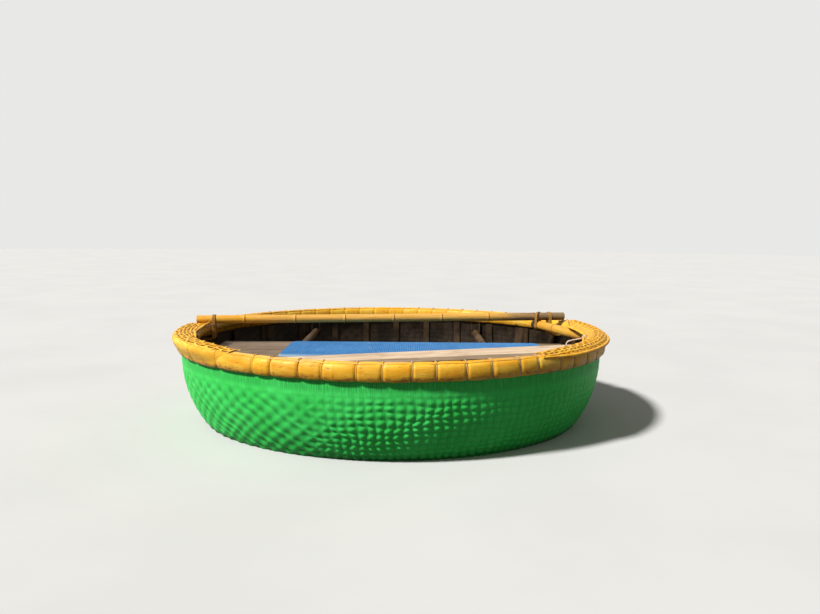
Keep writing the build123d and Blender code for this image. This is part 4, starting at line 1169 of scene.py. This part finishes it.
# Cane ties of the thwart: over the pole, down inside the thick bamboo and out under it to the wall
arc = np.radians(np.linspace(180, 0, 13))
for side, sign in (("right", 1), ("left", -1)):
    inboard, wall = (
        min(sign * rim_crossing(leg * TIE_LEG, inset, sign) for leg in (-1, 1))
        for inset in (END_POLE_INSET + END_POLE_RADIUS, WALL_INSIDE)
    )
    tie = Shape()
    for number in range(3):
        at = sign * (inboard - TIE_FIRST + TIE_PITCH * number)
        foot = TIE_FOOT_Z + TIE_FOOT_STEP * (number - 1)
        over = [(at, TIE_RADIUS * math.cos(angle), THWART_Z + TIE_RADIUS * math.sin(angle)) for angle in arc]
        leg = [(sign * (wall - 0.001), -TIE_RADIUS - 0.0004 * number, foot)]
        leg += [(at, -TIE_RADIUS, height) for height in (foot, *TIE_LEG_HEIGHTS)]
        x, y, z = smooth_path(leg + over + [(x, -y, z) for x, y, z in leg[::-1]], rounds=1).T[..., None]
        path = THWART_MIDDLE * FLAT + x * ALONG + y * ASIDE + z * UP
        level = np.abs(unit(np.gradient(path, axis=0)) @ ALONG) > 0.7
        tie_strand(tie, path, np.where(level[:, None], ASIDE, ALONG), TIE_STRAND, number)
    if side == "right":
        loop_way = unit(pole_way + ALONG)
        turn = np.radians(np.linspace(0, 360, 45))[:, None]
        above, lift = np.sin(turn) > 0, np.abs(np.sin(turn)) ** 0.7
        reach = np.where(above, *LOOP_REACH) * np.sign(np.cos(turn)) * np.abs(np.cos(turn)) ** 0.8
        height = np.where(above, THWART_Z + LOOP_RISE * lift, END_POLE_Z - LOOP_DROP * lift)
        loop = crossing * FLAT + reach * np.cross(UP, loop_way) + height * UP
        three_turns(tie, loop, loop_way, LOOP_STRAND[0], LOOP_STRAND)
    tie.piece(f"thwart_tie_{side}", TIE_CANE, "cane_tie", f"thwart_lashing_{side}", sharp=70)

# Cane slings that hang the seat bearers from the rim
bearer_low, bearer_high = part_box("seat_bearer_right")
bearer_x, bearer_z = (bearer_low.x + bearer_high.x) / 2, (bearer_low.z + bearer_high.z) / 2
sling_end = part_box("bearer_lashings")[1]
reach = (bearer_high.z - bearer_low.z) / 2 + SLING_GAP
arc = np.radians(np.linspace(180, 360, 11))
sag = [(reach * math.cos(angle), bearer_z + reach * math.sin(angle)) for angle in arc]
slings = Shape()
for sign_x in (1, -1):
    for sign_y in (1, -1):
        hung = [(-reach, sling_end.z), *sag, (reach, sling_end.z)]
        path = np.array([(sign_x * bearer_x + x, sign_y * (sling_end.y - SLING_HALF), z) for x, z in hung])
        three_turns(slings, path, np.array([0, 1.0, 0]), SLING_PITCH, SLING_STRAND)
slings.piece("bearer_slings", BEARER_SKIN, "cane_tie", "bearer_lashings", sharp=70)

# Ribbed plastic mat with rounded corners
mat_low, mat_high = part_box("seat_mat")
x = np.linspace(mat_low.x, mat_high.x, int((mat_high.x - mat_low.x) / RIB_PITCH) * RIB_SAMPLES)[:, None]
short = np.maximum(MAT_CORNER - np.minimum(x - mat_low.x, mat_high.x - x), 0)
half = (mat_high.y - mat_low.y) / 2 - MAT_CORNER + np.sqrt(MAT_CORNER**2 - short**2)
rib = 0.5 + 0.5 * np.cos((x - mat_low.x) * TURN / RIB_PITCH)
shares = np.concatenate([np.linspace(-1, 1, MAT_COLUMNS), np.linspace(1, -1, MAT_COLUMNS)])
on_top = np.repeat([1, 0], MAT_COLUMNS)
top = mat_low.z + MAT_BASE + (mat_high.z - mat_low.z - MAT_BASE) * rib
rings = triple(x, (mat_low.y + mat_high.y) / 2 + half * shares, np.where(on_top > 0, top, mat_low.z))
worn = ease(0.62, 0.96, -shares) * (0.55 + 0.45 * np.sin(x * 9.0)) * on_top
mat = Shape()
mat.tube(rings, rings, triple(0.0, (1 - rib) * on_top, worn))
mat.piece("ribbed_mat", MAT_BLUE, "ribbed_mat", "seat_mat", sharp=55)

# Tie of the plank: a knot under it, two twisted plies up through the hole and round the cap's inner roll
tie_low, tie_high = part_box("plank_tie")
hole = np.array([tie_low.x + HOLE_TO_BOX, tie_high.y - HOLE_TO_BOX, 0.0])
edge_start, edge_end = edge_corners("right", 0.0)[-2:]
edge_way = unit(edge_end - edge_start)
to_edge = edge_start + edge_way * float((hole - edge_start) @ edge_way) - hole
reach, out = float(np.linalg.norm(to_edge)), unit(to_edge)
climb = [(0.0, 0.012), (0.0, 0.030), (0.001, 0.058), (0.012, 0.068)]
bend = [
    (reach + CORD_BEND * math.cos(angle), CAP_ROLL_Z + CORD_BEND * math.sin(angle))
    for angle in np.radians(np.linspace(205, -60, 14))
]
route = smooth_path([(x, tie_low.z + z) for x, z in climb] + bend, rounds=1)
route = hole + route[:, :1] * out + route[:, 1:] * UP
fine = np.linspace(0, run_of(route)[-1], CORD_RINGS)
route = along_path(route, fine)
forward = unit(np.gradient(route, axis=0))
beside = unit(np.cross(forward, np.cross(UP, out)))
other = np.cross(forward, beside)
cord = Shape()
for ply in range(2):
    twist = (fine / CORD_TWIST * TURN + ply * math.pi)[:, None]
    line = route + CORD_RADIUS * (np.cos(twist) * beside + np.sin(twist) * other)
    cord.tube(strand(line, other, CORD_PLY, CORD_PLY))
turn = np.linspace(0, KNOT_TURNS * TURN, 70)
size = KNOT_RADIUS - 0.0022 * np.cos(turn * 0.73)
knot = route[0] + triple(size * np.cos(turn), size * np.sin(turn), 0.0042 * np.sin(turn * 1.5) - 0.001)
cord.tube(strand(knot, UP, KNOT_CORD, KNOT_CORD))
cord.piece("plank_cord", CORD, "pale_cord", "plank_tie", sharp=70)

# Floor at the waterline, open where the hull goes through it: its edge lies inside the hull's wall
skin_inset, skin_height = hull_skin(np.linspace(0, CREASE, 400), FLOOR_EDGE_DEPTH)
floor_inset = float(np.interp(-WATERLINE, -skin_height, skin_inset))
edge = outline(heading_at(np.arange(180) / 180 * LAP), floor_inset, WATERLINE)
rings = [edge] + [edge * (FLAT * (1 + reach) + UP) for reach in FLOOR_REACHES]
water = Shape()
water.skin(wrapped(water.add(np.stack(rings))).T)
floor = water.make("floor", pale_floor(), 40)

sun = bpy.data.lights.new("sun", "SUN")
sun.energy = 5.0
sun.angle = 0.12
sun.color = (1.0, 0.97, 0.92)
sun_item = bpy.data.objects.new("sun", sun)
bpy.context.scene.collection.objects.link(sun_item)
sun_item.location = SUN_AWAY
sun_drop = math.atan2(math.hypot(*SUN_AWAY[:2]), SUN_AWAY[2])
sun_item.rotation_euler = (sun_drop, 0, math.atan2(SUN_AWAY[0], -SUN_AWAY[1]))

world = bpy.data.worlds.new("studio")
bpy.context.scene.world = world
world.use_nodes = True
world.node_tree.nodes.clear()
sky = Nodes(world.node_tree)
lit = sky.add("Background", {"Color": (1.0, 0.97, 0.87, 1), "Strength": 0.175})
backdrop = sky.add("Background", {"Color": (0.81, 0.81, 0.795, 1), "Strength": 1.0})
blend = sky.add("MixShader", {0: sky.seen(), 1: lit, 2: backdrop})
sky.tree.links.new(blend, sky.tree.nodes.new("ShaderNodeOutputWorld").inputs["Surface"])

camera_data = bpy.data.cameras.new("camera")
camera_data.sensor_width = 36
camera_data.lens = CAMERA_LENS
camera = bpy.data.objects.new("camera", camera_data)
bpy.context.scene.collection.objects.link(camera)
camera.location = CAMERA_PLACE
tilt = Matrix.Rotation(math.pi / 2 - CAMERA_DROP, 3, "X") @ Matrix.Rotation(CAMERA_ROLL, 3, "Z")
camera.rotation_euler = tilt.to_euler()
bpy.context.scene.camera = camera

bpy.context.scene.view_settings.view_transform = "Standard"
